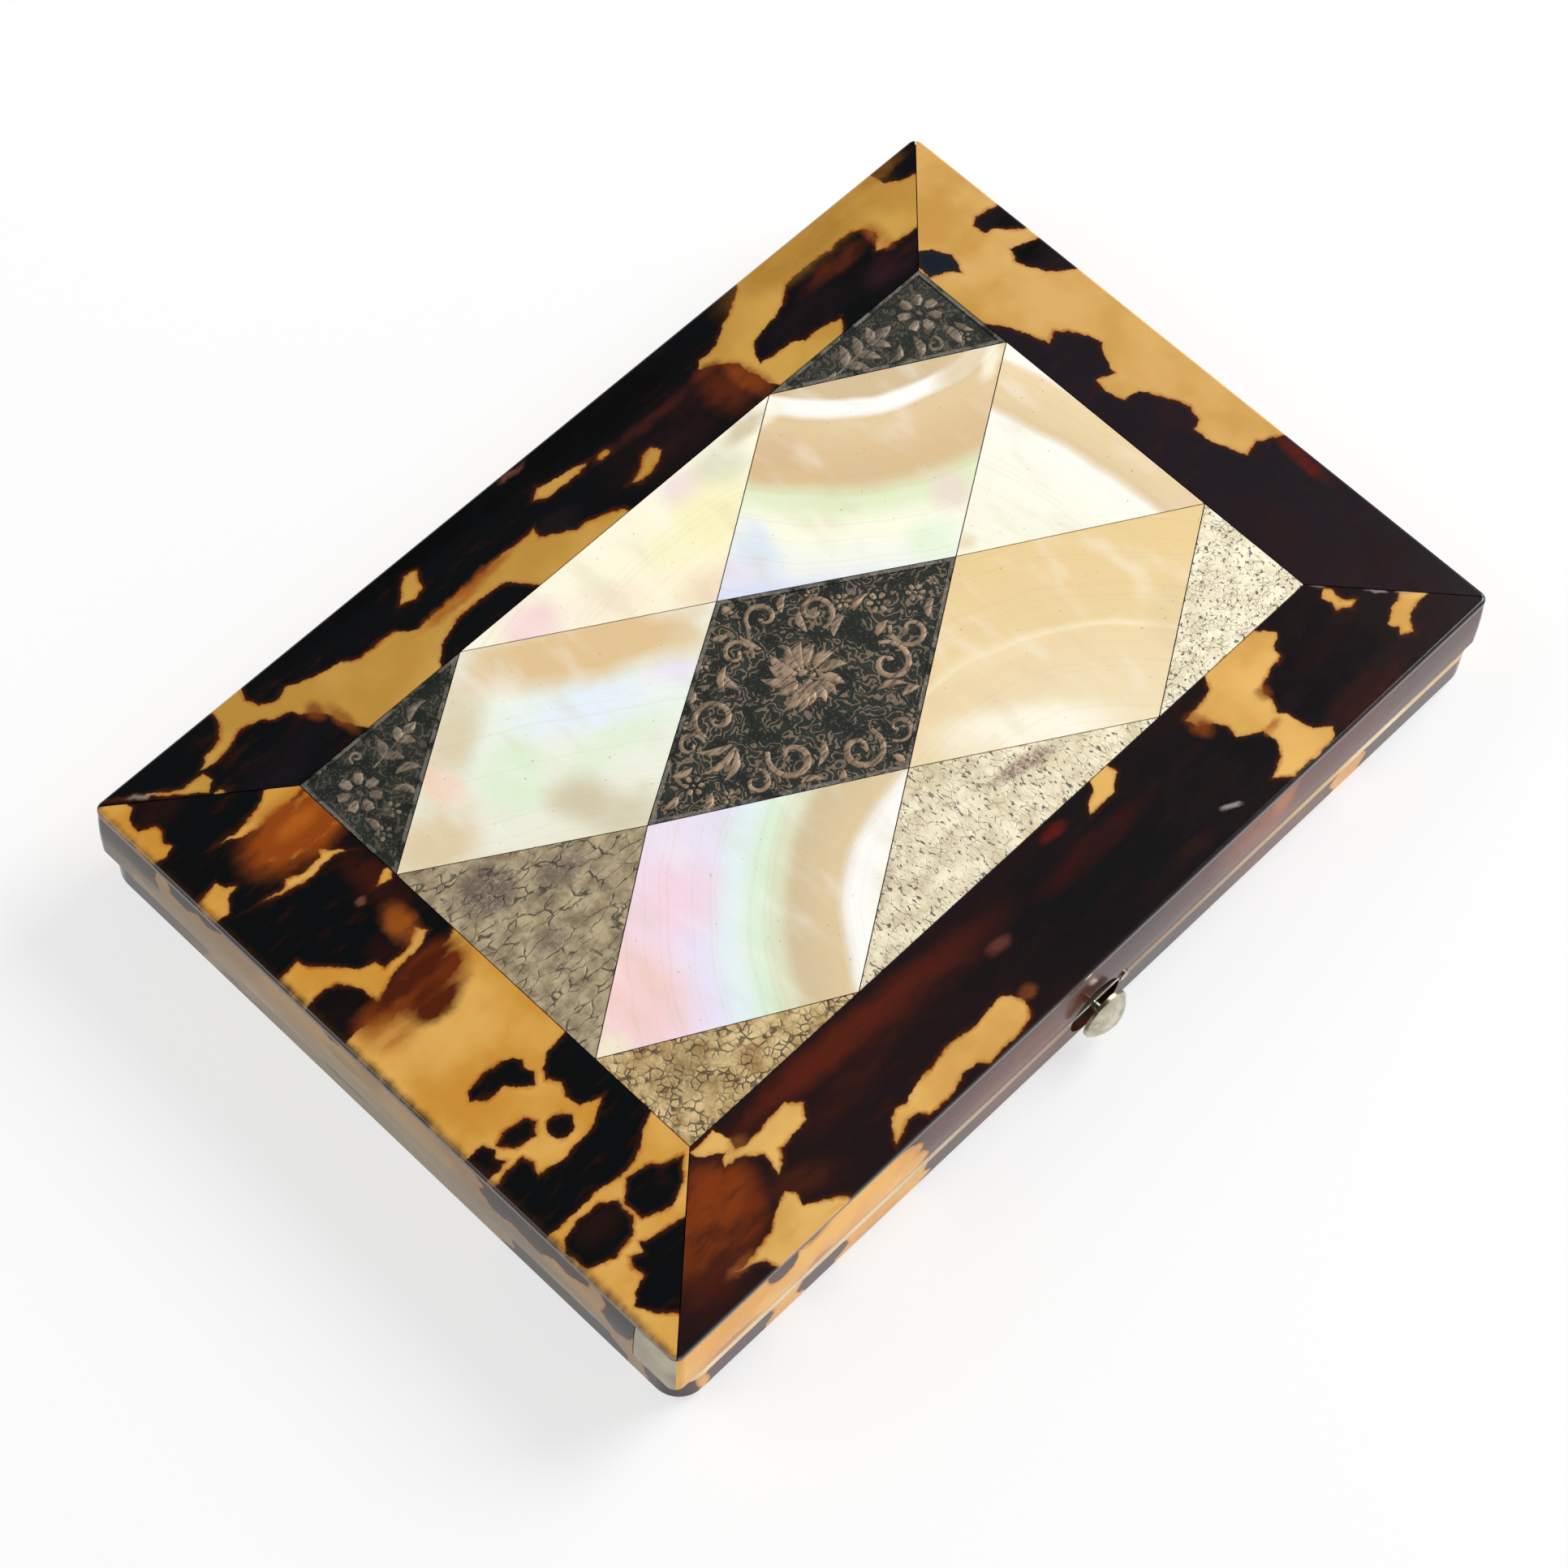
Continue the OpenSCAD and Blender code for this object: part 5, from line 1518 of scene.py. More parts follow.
SILVERS = {
    "silver_half_near": WornSilver(
        "silver_half_near", Tone(194, 178, 142), Tone(134, 116, 90), Tone(50, 42, 38),
        cells=1.0, crack_width=0.07, crack_depth=0.85, specks=0.72, draw=(0.35, 1.1, 1.0),
        tints=tints(
            ((92, 78, 80), 0.8, (-33, 6.4, 3.4, 2.6)), ((104, 90, 86), 0.7, (-27, 3.4, 3.4, 1.8)),
            ((102, 86, 82), 0.6, (-32, -1, 2.2, 1.2)),
        ),
        seed=1.0,
    ),
    "silver_corner_near_front": WornSilver(
        "silver_corner_near_front", Tone(228, 202, 148), Tone(168, 134, 82), Tone(44, 32, 18),
        cells=1.35, crack_width=0.15, crack_depth=0.85, specks=0.7, draw=(1.0, 1.0, 1.0),
        tints=tints(((124, 98, 52), 0.6, (-33, -18, 4, 2.4))),
        seed=2.0,
    ),
    "silver_half_front": WornSilver(
        "silver_half_front", Tone(250, 240, 210), Tone(216, 202, 168), Tone(70, 58, 48),
        cells=1.2, crack_width=0.05, crack_depth=0.45, specks=0.585, draw=(1.3, 0.5, 1.0),
        tints=tints(
            ((120, 86, 80), 0.85, (9.5, -17.8, 4, 0.9, -10)),
            ((150, 134, 116), 0.7, (-8, -17, 3, 1, 20)),
            ((196, 178, 136), 0.6, (3, -12.4, 3.4, 1.4)),
        ),
        seed=3.0,
    ),
    "silver_corner_far_front": WornSilver(
        "silver_corner_far_front", Tone(252, 244, 216), Tone(222, 210, 178), Tone(66, 54, 44),
        cells=1.6, crack_width=0.06, crack_depth=0.5, specks=0.58, draw=(1.0, 1.0, 1.0), seed=4.0,
    ),
}


@dataclass(frozen=True)
class Stroke:
    """One cut of the graver: points in millimetres, and the half width at each."""

    points: tuple[Corner, ...]
    widths: tuple[float, ...]


# A leaf's half widths, each at its share of the leaf's length
LEAF = ((0, 0.15), (0.2, 0.7), (0.42, 1.0), (0.65, 0.8), (0.85, 0.4), (1, 0.06))
# A petal's half widths, each at its share of the flower's radius, and its boss's
PETAL = ((0.42, 0.12), (0.7, 0.27), (1.0, 0.2))
BOSS = ((-0.1, 0.13), (0.0, 0.2), (0.1, 0.13))
SCROLL_STEPS = 18


@dataclass
class Ornament:
    """Generic scrolls, leaves and flowers that an engraver fills a plate with, in millimetres."""

    strokes: list[Stroke] = field(default_factory=list)

    def scroll(
        self, x: float, y: float, radius: float, start: float, turns: float, width: float
    ) -> None:
        """Adds a scroll that winds in from its rim to a round eye.

        Args:
            x: Middle of the eye.
            y: Middle of the eye.
            radius: Radius where it starts.
            start: Angle where it starts, in degrees.
            turns: How often it winds, less than 0 clockwise.
            width: Half width at its fullest.
        """
        points, widths = [], []
        eye = 0.12 * radius
        for i in range(SCROLL_STEPS + 1):
            share = i / SCROLL_STEPS
            angle = math.radians(start) + math.tau * turns * share
            reach = radius * (1 - share) ** 0.8 + eye
            points.append((x + reach * math.cos(angle), y + reach * math.sin(angle)))
            swell = math.sin(math.pi * min(1.0, 0.12 + share * 0.95)) ** 0.7
            widths.append(width * (0.25 + 0.75 * swell))
        widths[-2:] = (width * 0.95, width * 1.15)
        self.strokes.append(Stroke(tuple(points), tuple(widths)))

    def leaf(
        self, x: float, y: float, length: float, angle: float, width: float, bend: float = 0.2
    ) -> None:
        """Adds a pointed leaf.

        Args:
            x: Where its stalk is.
            y: Where its stalk is.
            length: Its length.
            angle: Where it points, in degrees.
            width: Half width at its fullest.
            bend: How far it bows to its left, as a share of its length.
        """
        turn = math.radians(angle)
        ahead = (math.cos(turn), math.sin(turn))
        aside = (-ahead[1], ahead[0])
        points, widths = [], []
        for share, swell in LEAF:
            off = bend * length * math.sin(math.pi * share)
            points.append(
                tuple(
                    at + along * share * length + across * off
                    for at, along, across in zip((x, y), ahead, aside)
                )
            )
            widths.append(width * swell)
        self.strokes.append(Stroke(tuple(points), tuple(widths)))

    def flower(self, x: float, y: float, radius: float, petals: int, turn: float = 0.0) -> None:
        """Adds a flower with round petals and a boss.

        Args:
            x: Its middle.
            y: Its middle.
            radius: Its radius.
            petals: How many petals it has.
            turn: Where the first one points, in degrees.
        """
        for k in range(petals):
            angle = math.radians(turn) + math.tau * k / petals
            out = (math.cos(angle), math.sin(angle))
            points = tuple((x + out[0] * radius * s, y + out[1] * radius * s) for s, _ in PETAL)
            self.strokes.append(Stroke(points, tuple(w * radius for _, w in PETAL)))
        middle = tuple((x + s * radius, y) for s, _ in BOSS)
        self.strokes.append(Stroke(middle, tuple(w * radius for _, w in BOSS)))

    def spray(
        self, x: float, y: float, length: float, angle: float, width: float, count: int
    ) -> None:
        """Adds a stem with leaves in pairs and one at its end.

        Args:
            x: Where the stem starts.
            y: Where the stem starts.
            length: The stem's length.
            angle: Where it points, in degrees.
            width: Half width of a leaf at its fullest.
            count: How many pairs of leaves it has.
        """
        turn = math.radians(angle)
        ahead = (math.cos(turn), math.sin(turn))
        tip = (x + ahead[0] * length, y + ahead[1] * length)
        middle = ((x + tip[0]) / 2, (y + tip[1]) / 2)
        self.strokes.append(Stroke(((x, y), middle, tip), (0.1, 0.09, 0.07)))
        spread = 52
        for k in range(count):
            share = (k + 0.6) / count
            px, py = x + ahead[0] * length * share, y + ahead[1] * length * share
            size = length * 0.5 * (1 - 0.3 * share)
            for side in (1, -1):
                self.leaf(px, py, size, angle + spread * side, width, -0.12 * side)
        self.leaf(*tip, length * 0.4, angle, width, 0.0)

    def piece(
        self, name: str, ground: float, height: float, material: bpy.types.Material
    ) -> bpy.types.Object:
        """Makes the strokes one low relief.

        Args:
            name: The piece's name.
            ground: Height of the ground it stands on, in millimetres.
            height: How far it may rise above that.
            material: Its finish.

        Returns:
            The relief as a mesh.
        """
        bpy.ops.object.select_all(action="DESELECT")
        bpy.ops.curve.primitive_bezier_curve_add()
        piece = bpy.context.object
        piece.name = name
        line = piece.data
        line.splines.clear()
        line.dimensions = "3D"
        line.bevel_depth = MM
        line.bevel_resolution = 1
        line.use_fill_caps = True
        for stroke in self.strokes:
            spline = line.splines.new("POLY")
            spline.points.add(len(stroke.points) - 1)
            for knot, (x, y), width in zip(spline.points, stroke.points, stroke.widths):
                knot.co = ((x - MARKS[0]) * MM, (y - MARKS[1]) * MM, 0.0, 1.0)
                knot.radius = width
        select_only(piece)
        bpy.ops.object.convert(target="MESH")
        piece.data.name = name
        widest = max(max(s.widths) for s in self.strokes)
        bpy.ops.object.mode_set(mode="EDIT")
        bpy.ops.mesh.select_all(action="SELECT")
        bpy.ops.transform.resize(value=(1, 1, height / widest), center_override=(0, 0, 0))
        bpy.ops.transform.translate(value=(0, 0, ground * MM))
        bpy.ops.object.mode_set(mode="OBJECT")
        bpy.ops.object.shade_smooth()
        piece.data.materials.clear()
        piece.data.materials.append(material)
        return piece


def middle_ornament() -> Ornament:
    """Draws the middle plate's ornament: a leafy boss with scrolls and flowers round it.

    Returns:
        The ornament.
    """
    work = Ornament()
    chance = random.Random(11)
    leaves, middle = 15, (2.0, 2.1)
    for k in range(leaves):
        angle = 360 / leaves * k + chance.uniform(-6, 6)
        turn = math.radians(angle)
        start = 0.7 + 0.7 * max(0.0, math.cos(turn + math.radians(20)))
        size = chance.uniform(2.6, 3.7) - 0.5 * start
        x, y = middle[0] + math.cos(turn) * start, middle[1] + math.sin(turn) * start
        work.leaf(x, y, size, angle, width=0.62, bend=0.15)
    work.flower(1.2, 2.3, 1.5, 6, 10)
    work.flower(3.4, 1.8, 0.8, 5, 50)
    for row in (
        (-6.6, 4.6, 1.9, 200, -1.15, 0.3), (-4.6, -2.9, 2.0, 120, 1.15, 0.36),
        (7.6, 6.2, 1.7, 250, 1.1, 0.28), (8.6, -2.2, 2.0, 70, -1.15, 0.32),
        (12.4, -1.2, 1.7, 120, 1.1, 0.28), (0.4, -6.6, 2.0, 20, -1.2, 0.36),
        (3.8, 9.0, 1.5, 180, -1.0, 0.26), (-0.6, 8.0, 1.4, 300, 1.1, 0.24),
        (-10.2, 4.2, 1.2, 330, 1.0, 0.24), (4.4, -7.4, 1.3, 200, 1.0, 0.24),
        (-8.6, -2.4, 1.2, 40, -1.0, 0.24),
    ):
        work.scroll(*row)
    for x, y, length, angle in (
        (-7.4, 1.4, 4.2, 178), (-7.6, 1.0, 3.2, 205), (-7.4, 1.8, 3.4, 150), (-4.2, 6.0, 2.8, 40),
        (-3.0, 5.2, 2.6, 85), (1.4, 6.8, 2.4, 100), (5.6, 5.2, 2.6, 60), (7.0, 3.2, 2.4, 20),
        (10.2, 3.8, 2.2, 10), (-1.4, -3.6, 2.6, 215), (5.8, -3.4, 2.8, 330), (2.0, -9.0, 1.6, 270),
        (-2.2, -7.0, 1.8, 200), (9.8, 0.4, 2.0, 15), (-12.2, -0.4, 2.4, 200),
        (-11.6, 2.6, 2.2, 160), (5.4, 8.2, 2.0, 35), (2.2, 11.2, 1.4, 90), (7.0, -5.4, 2.0, 345),
        (-5.8, -5.2, 2.0, 325), (14.6, -1.4, 2.0, 30), (-14.6, 1.4, 1.8, 180),
        (0.2, 10.0, 1.6, 150), (-6.0, 8.0, 1.6, 200),
    ):
        work.leaf(x, y, length, angle, width=0.42, bend=0.14)
    for x, y, size in (
        (12.4, 2.8, 1.1), (15.6, 1.2, 0.9), (-12.8, 1.2, 1.0), (10.2, 5.2, 0.8), (-9.2, 6.4, 0.7),
        (6.4, -7.6, 0.7), (-3.4, 9.4, 0.7), (-11.4, -1.8, 0.7), (17.6, 1.0, 0.5), (8.6, 7.6, 0.6),
    ):
        work.flower(x, y, size, petals=6, turn=20)
    return work


def far_corner_ornament() -> Ornament:
    """Draws the far corner's ornament: a spray of leaves, a flower and a bud.

    Returns:
        The ornament.
    """
    work = Ornament()
    work.spray(27.4, 22.6, 5.4, 2, 0.62, 3)
    work.flower(38.0, 22.0, 2.1, 7)
    work.leaf(35.6, 20.4, 2.4, 235, 0.5)
    work.leaf(34.0, 20.8, 2.2, 200, 0.46)
    work.leaf(38.6, 19.4, 2.8, 262, 0.55, 0.1)
    work.leaf(39.6, 19.0, 2.0, 290, 0.4, -0.1)
    work.flower(39.0, 17.2, 0.7, 5)
    work.scroll(36.4, 18.6, 0.8, 40, -1.0, 0.2)
    work.leaf(27.6, 22.9, 2.0, 172, 0.36)
    return work


def near_corner_ornament() -> Ornament:
    """Draws the near corner's ornament: a flower, leaves and buds.

    Returns:
        The ornament.
    """
    work = Ornament()
    work.flower(-34.2, 21.2, 2.0, 7)
    work.spray(-31.6, 22.2, 4.2, 8, 0.56, 2)
    work.leaf(-30.6, 20.4, 2.4, 330, 0.5)
    work.leaf(-31.8, 19.4, 2.2, 300, 0.46)
    work.flower(-33.2, 18.0, 0.8, 5)
    work.flower(-35.4, 16.8, 0.8, 5)
    work.leaf(-35.6, 19.0, 2.0, 262, 0.4)
    work.leaf(-26.2, 23.4, 2.6, 12, 0.42)
    work.scroll(-32.0, 24.0, 0.6, 200, -1.0, 0.16)
    return work


@dataclass
class InlayPanel:
    """The lozenge inlay of the lid: pearl, engraved plates and worn silver.

    Attributes:
        top: Height of the lid's top in millimetres.
        border: Width of a plate's bright rim.
        sunk: How far its ground lies under the rim.
        relief: How far its ornament stands over the ground.
        upward: How far a face's normal points up where the face is the plate's top.
        dull_light: Lighter colour of the corner plates' ornament.
        dull_deep: Its darker colour.
    """

    top: float = 12.45
    border: float = 0.34
    sunk: float = 0.1
    relief: float = 0.09
    upward: float = 0.9
    dull_light: Tone = Tone(150, 134, 114)
    dull_deep: Tone = Tone(94, 84, 70)

    def plate(
        self,
        node: str,
        work: Ornament,
        material: bpy.types.Material,
        seed: float,
        bright: float,
    ) -> None:
        """Builds one engraved plate and its ornament.

        Args:
            node: The CAD node it stands for.
            work: Its ornament.
            material: The ornament's finish.
            seed: Seed of its ground.
            bright: Strength of the fine curls in its ground.
        """
        ground = EngravedGround(f"{node}_ground", self.top, seed, bright=bright).material()
        piece = copy_of(node, f"{node}_plate", ground)
        bpy.ops.object.mode_set(mode="EDIT")
        bpy.ops.mesh.select_all(action="DESELECT")
        bpy.ops.object.mode_set(mode="OBJECT")
        for face in piece.data.polygons:
            face.select = face.normal.z > self.upward
        bpy.ops.object.mode_set(mode="EDIT")
        bpy.ops.mesh.select_mode(type="FACE")
        bpy.ops.mesh.inset(thickness=self.border * MM)
        bpy.ops.mesh.extrude_region_move(
            TRANSFORM_OT_translate={"value": (0, 0, -self.sunk * MM)}
        )
        bpy.ops.object.mode_set(mode="OBJECT")
        stands_for(piece, node, "lid")
        figure = work.piece(f"{node}_ornament", self.top - self.sunk, self.relief, material)
        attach(figure, "lid")
        LOG.info("built %s with %d strokes", figure.name, len(work.strokes))

    def build(self) -> None:
        """Builds and dresses the panel."""
        for node, finish in {**PEARLS, **SILVERS}.items():
            dress(node, finish.material())
        figure = EngravedFigure("engraved_figure").material()
        self.plate("engraved_lozenge_middle", middle_ornament(), figure, seed=1.0, bright=0.7)
        dull = EngravedFigure(
            "engraved_figure_dull", self.dull_light, self.dull_deep, seed=4.0
        ).material()
        for node, work, seed in (
            ("engraved_corner_far_back", far_corner_ornament(), 2.0),
            ("engraved_corner_near_back", near_corner_ornament(), 3.0),
        ):
            self.plate(node, work, dull, seed, bright=0.25)


# ---------------------------------------------------------------- metalwork


@dataclass
class Metalwork:
    """Hinge and push-button catch."""

    def build(self) -> None:
        """Dresses the metal parts."""
        nickel, brass, steel = (
            Metal(name, Tone(*bright), Tone(*dull), smooth, seed).material()
            for name, bright, dull, smooth, seed in (
                ("nickel_silver", (214, 208, 190), (150, 142, 118), 0.16, 1.0),
                ("brass_parts", (206, 170, 98), (150, 112, 58), 0.24, 3.0),
                ("steel_parts", (168, 170, 174), (112, 112, 116), 0.22, 5.0),
            )
        )
        for finish, nodes in (
            (nickel, "hinge_base_leaf hinge_lid_leaf catch_bridge catch_button"),
            (brass, "hinge_base_pins hinge_lid_pins button_bush catch_housing"),
            (brass, "catch_housing_pins keeper keeper_pins"),
            (steel, "hinge_pin latch"),
        ):
            for node in nodes.split():
                dress(node, finish)
        self.spring(steel)

    def spring(self, steel: bpy.types.Material) -> None:
        """Builds the bow spring in its CAD node's place, on no body.

        Args:
            steel: Its finish.
        """
        piece = copy_of("catch_spring", "catch_bow_spring", steel)
        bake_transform(piece)
        stands_for(piece, "catch_spring")


# ---------------------------------------------------------------- silk


@dataclass
class SilkLining:
    """The silk concertina: covered boards, card leaves, pleated gussets and the spine.

    Attributes:
        shares: Heights of a gusset's folds, as shares of the gusset's height.
        thickness: Thickness of the silk in millimetres.
        wave: How far a pleat waves to each side.
        waves: How many waves are laid over each other.
        gusset_steps: Steps along a gusset.
        fold_round: How much of a fold's sharpness is taken off.
        spine_folds: Folds of the silk behind the leaves.
        spine_room: How far that silk reaches towards the leaves, beyond its CAD node.
        spine_steps: Steps along it.
        board_edge: Radius of a covered board's edges.
        board_edge_faces: Faces round such an edge.
        turn_low: Not used; where a blend from base to lid would start, in metres.
        turn_high: Not used; where it would end.
    """

    shares: tuple[float, ...] = (0, 0.163, 0.326, 0.413, 0.5, 0.587, 0.674, 0.837, 1)
    thickness: float = 0.1
    wave: float = 0.07
    waves: int = 8
    gusset_steps: int = 64
    fold_round: float = 0.06
    spine_folds: int = 12
    spine_room: float = 0.2
    spine_steps: int = 60
    board_edge: float = 0.15
    board_edge_faces: int = 3
    turn_low: tuple[float, float, float] = (0.0, 0.0, 0.00235)
    turn_high: tuple[float, float, float] = (0.0, 0.0, 0.0100)

    def boards(self) -> None:
        """Builds the silk-covered boards with soft edges."""
        silk = Silk("silk_boards").material()
        rows = [("base_lining", "base"), ("lid_lining", "lid")]
        rows += [(f"card_leaf_{n}", f"leaf_{n}") for n in (1, 2, 3)]
        for node, body in rows:
            piece = copy_of(node, f"{node}_silk", silk)
            bevelled(piece, self.board_edge, self.board_edge_faces)
            box_uv(piece)
            stands_for(piece, node, body)

    def _sheet(
        self,
        name: str,
        path: list[Corner],
        run: list[float],
        place: Callable[[Corner, float], tuple[float, float, float]],
        material: bpy.types.Material,
    ) -> tuple[bpy.types.Object, float]:
        """Makes a sheet that follows a path and runs straight across it.

        Args:
            name: The piece's name.
            path: The path's points, in millimetres.
            run: The places across it, in millimetres.
            place: A function of path point and run place that gives a point in the frame.
            material: Its finish.

        Returns:
            The sheet and the path's length in metres.
        """
        along = [0.0]
        for (ax, az), (bx, bz) in zip(path, path[1:]):
            along.append(along[-1] + math.hypot(bx - ax, bz - az))
        verts = [place(p, r) for p in path for r in run]
        width = len(run)
        faces = [
            (i * width + k, i * width + k + 1, (i + 1) * width + k + 1, (i + 1) * width + k)
            for i in range(len(path) - 1)
            for k in range(width - 1)
        ]
        mesh = bpy.data.meshes.new(name)
        mesh.from_pydata([Vector(v) * MM for v in verts], [], faces)
        layer = mesh.uv_layers.new(name="Cut")
        for face in mesh.polygons:
            for loop in face.loop_indices:
                i, k = divmod(mesh.loops[loop].vertex_index, width)
                layer.data[loop].uv = (run[k] * MM, along[i] * MM)
        piece = bpy.data.objects.new(name, mesh)
        bpy.context.scene.collection.objects.link(piece)
        piece.data.materials.append(material)
        select_only(piece)
        cloth = piece.modifiers.new("Cloth thickness", "SOLIDIFY")
        cloth.thickness = self.thickness * MM
        cloth.offset = 0.0
        bpy.ops.object.modifier_apply(modifier=cloth.name)
        bpy.ops.object.mode_set(mode="EDIT")
        bpy.ops.mesh.select_all(action="SELECT")
        bpy.ops.mesh.normals_make_consistent(inside=False)
        bpy.ops.object.mode_set(mode="OBJECT")
        bpy.ops.object.shade_smooth_by_angle(angle=SMOOTH_FOLD)
        return piece, along[-1] * MM

    def _hang(self, piece: bpy.types.Object, node: str, flat: tuple[float, float]) -> None:
        """Puts a folded sheet in a CAD node's place, on no body, and logs the size it is cut to.

        Args:
            piece: The sheet.
            node: The CAD node.
            flat: The size the sheet is cut to, in metres.
        """
        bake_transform(piece)
        stands_for(piece, node)
        LOG.info("%s is cut %.1f x %.1f mm", piece.name, flat[0] / MM, flat[1] / MM)

    def gusset_path(self, low: Vector, high: Vector) -> list[Corner]:
        """Gives the pleats' path with softened folds.

        Args:
            low: The CAD gusset's lowest corner, in millimetres.
            high: Its highest corner.

        Returns:
            The path's points as (outwards, up).
        """
        inner = low.x + self.thickness / 2 + self.wave
        reach = high.x - self.thickness / 2 - self.wave - inner
        corners = [
            (inner + (i % 2) * reach, low.z + share * (high.z - low.z))
            for i, share in enumerate(self.shares)
        ]
        path = [corners[0]]
        for i in range(1, len(corners) - 1):
            before, here, after = (Vector(corners[i + k]) for k in (-1, 0, 1))
            for share in (0.25, 0.1):
                path.append(tuple(here.lerp(before, share)))
            path.append(tuple(here.lerp((before + after) / 2, self.fold_round)))
            for share in (0.1, 0.25):
                path.append(tuple(here.lerp(after, share)))
        path.append(corners[-1])
        return path

    def gussets(self, silk: bpy.types.Material) -> None:
        """Builds the two pleated gussets.

        Args:
            silk: Their finish.
        """
        low, high = (Vector(corner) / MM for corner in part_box("gusset_right"))
        path = self.gusset_path(low, high)
        chance = random.Random(7)
        waves = [chance.uniform(-1, 1) for _ in range(self.waves)]
        count = self.gusset_steps
        run = [low.y + (high.y - low.y) * k / count for k in range(count + 1)]
        most = sum(abs(w) for w in waves)

        def ripple(y: float) -> float:
            """Gives the small waves along a pleat."""
            rise = sum(w * math.sin(y * (0.25 + 0.17 * n) + 2.0 * w) for n, w in enumerate(waves))
            return self.wave * rise / most

        for side, node in ((1, "gusset_right"), (-1, "gusset_left")):
            piece, width = self._sheet(
                f"{node}_pleats",
                path,
                run,
                lambda p, y, side=side: (side * (p[0] + ripple(y)), y, p[1]),
                silk,
            )
            self._hang(piece, node, (width, (high.y - low.y) * MM))

    def spine(self, silk: bpy.types.Material) -> None:
        """Builds the silk behind the leaves.

        Args:
            silk: Its finish.
        """
        low, high = (Vector(corner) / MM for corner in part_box("spine_silk"))
        steps = self.spine_folds * 4
        near, far = low.y - self.spine_room, high.y
        path = []
        for i in range(steps + 1):
            share = i / steps
            wave = 0.5 - 0.5 * math.cos(math.tau * self.spine_folds * share)
            path.append((near + (far - near) * wave, low.z + share * (high.z - low.z)))
        count = self.spine_steps
        across = [low.x + (high.x - low.x) * k / count for k in range(count + 1)]
        piece, width = self._sheet(
            "spine_silk_pleats", path, across, lambda p, x: (x, p[0], p[1]), silk
        )
        self._hang(piece, "spine_silk", (width, (high.x - low.x) * MM))

    def build(self) -> None:
        """Builds the lining."""
        self.boards()
        silk = Silk("silk_pleats", Tone(122, 30, 44), Tone(150, 52, 60), thread=5.0, seed=6.0)
        finish = silk.material()
        self.gussets(finish)
        self.spine(finish)


# ---------------------------------------------------------------- studio


@dataclass(frozen=True)
class Lamp:
    """A soft square lamp that looks at the case, its place and side in metres."""

    name: str
    place: tuple[float, float, float]
    size: float
    power: float

    def build(self) -> None:
        """Hangs the lamp."""
        bpy.ops.object.select_all(action="DESELECT")
        bpy.ops.object.light_add(type="AREA", location=self.place)
        lamp = bpy.context.object
        lamp.name = self.name
        lamp.data.shape = "SQUARE"
        lamp.data.size = self.size
        lamp.data.energy = self.power
        lamp.rotation_euler = (-Vector(self.place)).to_track_quat("-Z", "Y").to_euler()
        LOG.info("hung %s", self.name)


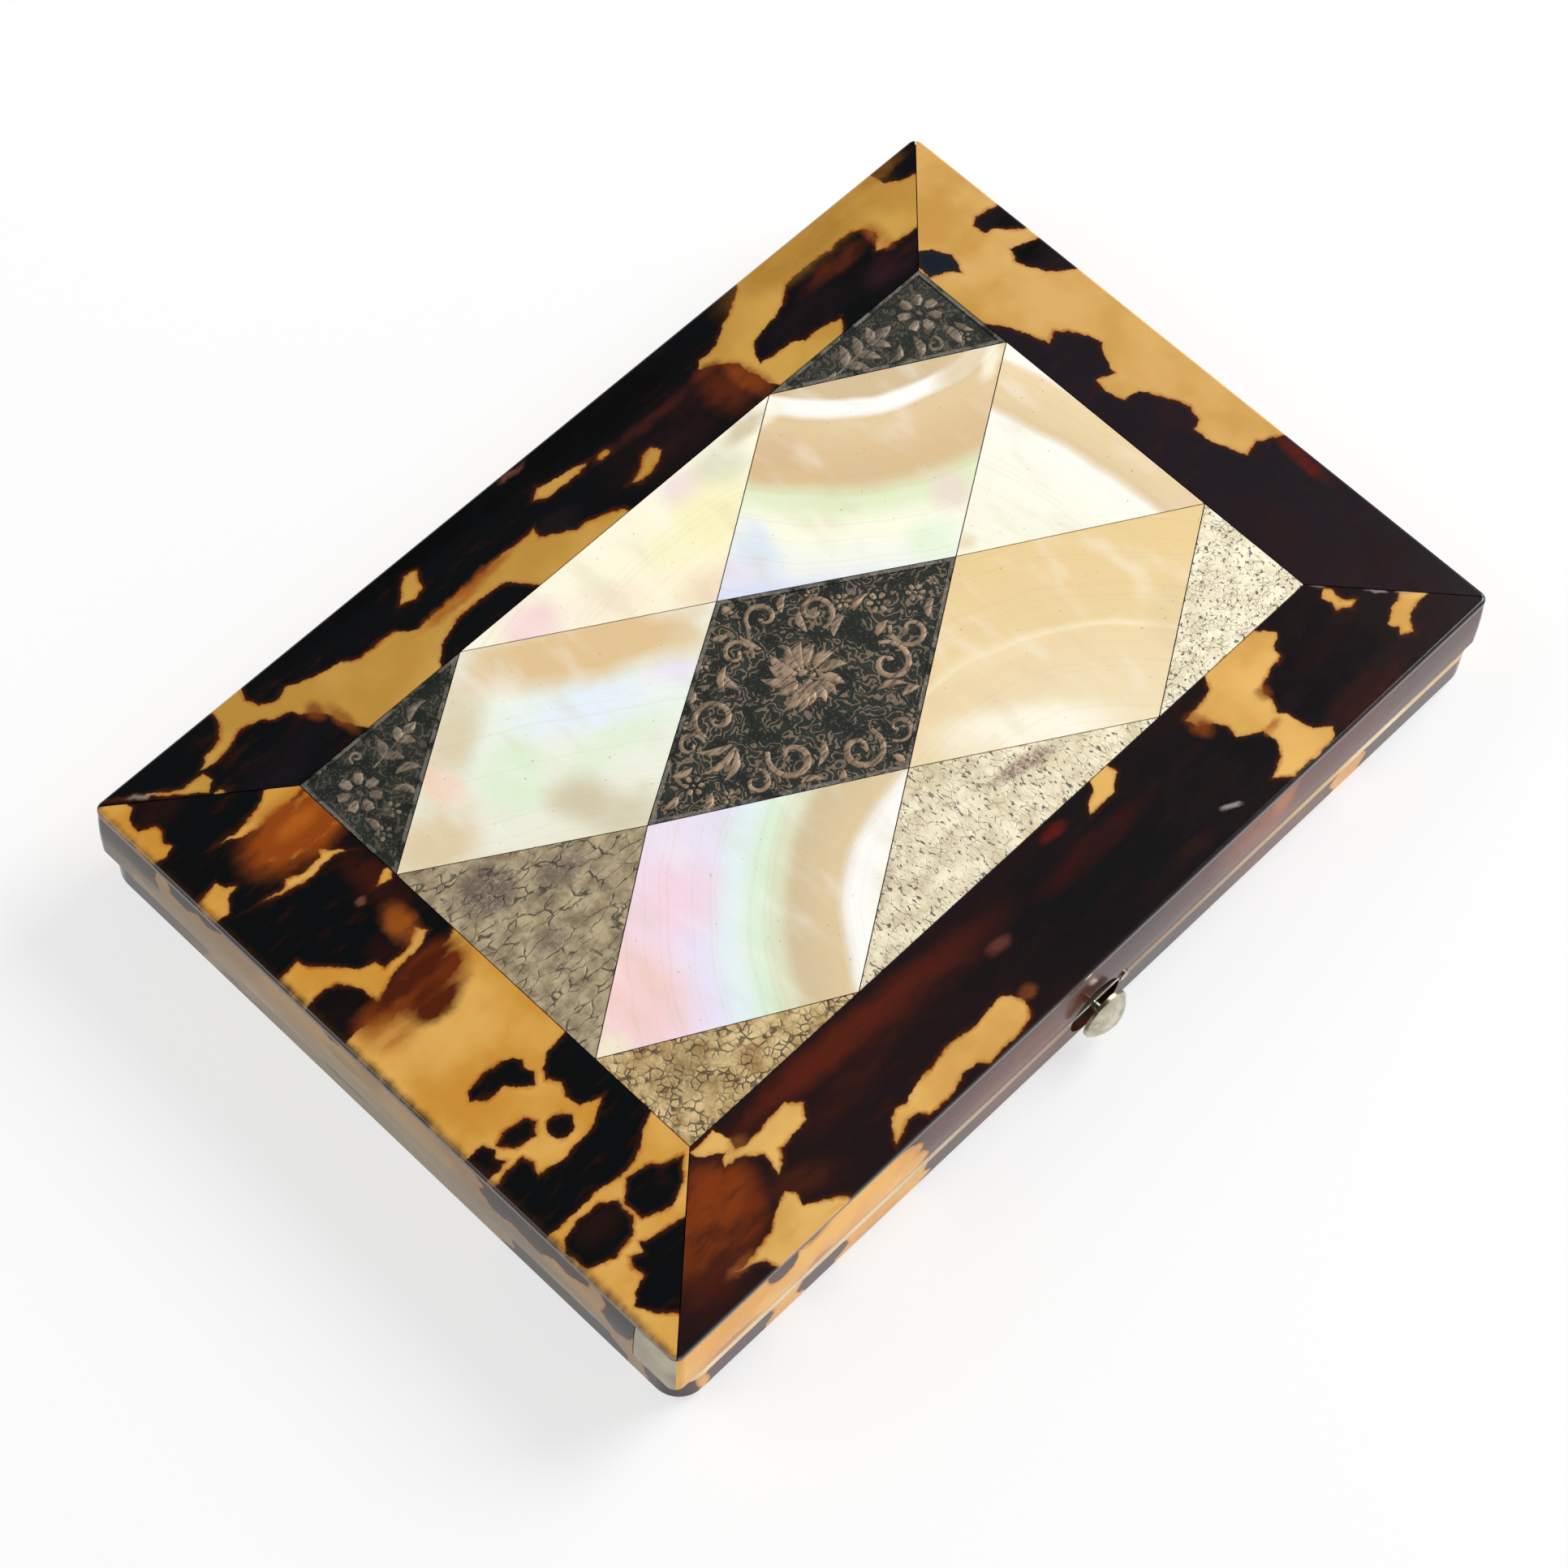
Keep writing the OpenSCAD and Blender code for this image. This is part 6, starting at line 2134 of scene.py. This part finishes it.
@dataclass
class Studio:
    """Floor, lamps, sky and the camera at the photograph's place.

    Attributes:
        floor_size: Side of the floor in metres.
        floor_gap: How far the floor lies under the case.
        lens: The camera's focal length in millimetres.
        sensor: Width of its sensor.
        right: Where the picture's right points.
        down: Where the picture's lower edge is.
        ahead: Where the camera looks.
        place: Where the camera stands, in metres.
        clip: Nearest and farthest distance that it sees.
        lamps: The lamps.
        wall: Brightness of the walls.
        ceiling: Brightness of the ceiling.
        wall_top: Where the walls begin to darken, as the height of the way one looks.
        ceiling_start: Where the ceiling begins.
    """

    floor_size: float = 6.0
    floor_gap: float = 0.00002
    lens: float = 96.9
    sensor: float = 36.0
    right: tuple[float, float, float] = (0.699154, -0.714048, 0.036322)
    down: tuple[float, float, float] = (-0.616637, -0.627928, -0.474832)
    ahead: tuple[float, float, float] = (0.36186, 0.309584, -0.879327)
    place: tuple[float, float, float] = (-0.14198, -0.1197, 0.33942)
    clip: tuple[float, float] = (0.01, 20.0)
    lamps: tuple[Lamp, ...] = (
        Lamp("key_lamp", (0.62, -0.16, 0.52), size=0.5, power=7.3),
        Lamp("fill_lamp", (-0.5, 0.45, 0.55), size=0.6, power=2.8),
    )
    wall: float = 1.0
    ceiling: float = 0.07
    wall_top: float = 0.22
    ceiling_start: float = 0.62

    def build(self) -> None:
        """Builds the studio."""
        self._floor()
        self._sky()
        for lamp in self.lamps:
            lamp.build()
        self._camera()

    def _floor(self) -> None:
        """Lays the floor just under the case."""
        bpy.ops.object.select_all(action="DESELECT")
        bpy.ops.mesh.primitive_plane_add(size=self.floor_size, location=(0, 0, -self.floor_gap))
        floor = bpy.context.object
        floor.name = "studio_floor"
        floor.data.materials.append(StudioFloor("studio_floor").material())

    def _sky(self) -> None:
        """Lights the studio with white walls under a dim ceiling."""
        world = bpy.data.worlds.new("studio")
        bpy.context.scene.world = world
        bench = Bench(world)
        towards = bench.node("ShaderNodeTexCoord", output="Generated")
        share = bench.step(bench.part(towards, "Z"), self.wall_top, self.ceiling_start)
        bright, dim = ((v, v, v, 1.0) for v in (self.wall, self.ceiling))
        colour = bench.mix(share, bright, dim)
        bench.end(bench.node("ShaderNodeBackground", {}, {"Color": colour, "Strength": 1.0}))

    def _camera(self) -> None:
        """Sets the camera as the photograph's perspective asks."""
        bpy.ops.object.select_all(action="DESELECT")
        bpy.ops.object.camera_add()
        camera = bpy.context.object
        camera.name = "photo_camera"
        camera.data.lens = self.lens
        camera.data.sensor_width = self.sensor
        camera.data.clip_start, camera.data.clip_end = self.clip
        columns = (Vector(self.right), -Vector(self.down), -Vector(self.ahead))
        turn = Matrix([[column[row] for column in columns] for row in range(3)])
        camera.matrix_world = Matrix.Translation(self.place) @ turn.to_4x4()
        bpy.context.scene.camera = camera


# ---------------------------------------------------------------- main


def main() -> None:
    """Builds the looks in order."""
    logging.basicConfig(level=logging.INFO, format="%(message)s")
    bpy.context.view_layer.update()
    bpy.context.scene.view_settings.view_transform = "Standard"
    for part in (ShellBody(), TopFrame(), InlayPanel(), Metalwork(), SilkLining(), Studio()):
        part.build()


if __name__ == "__main__":
    main()
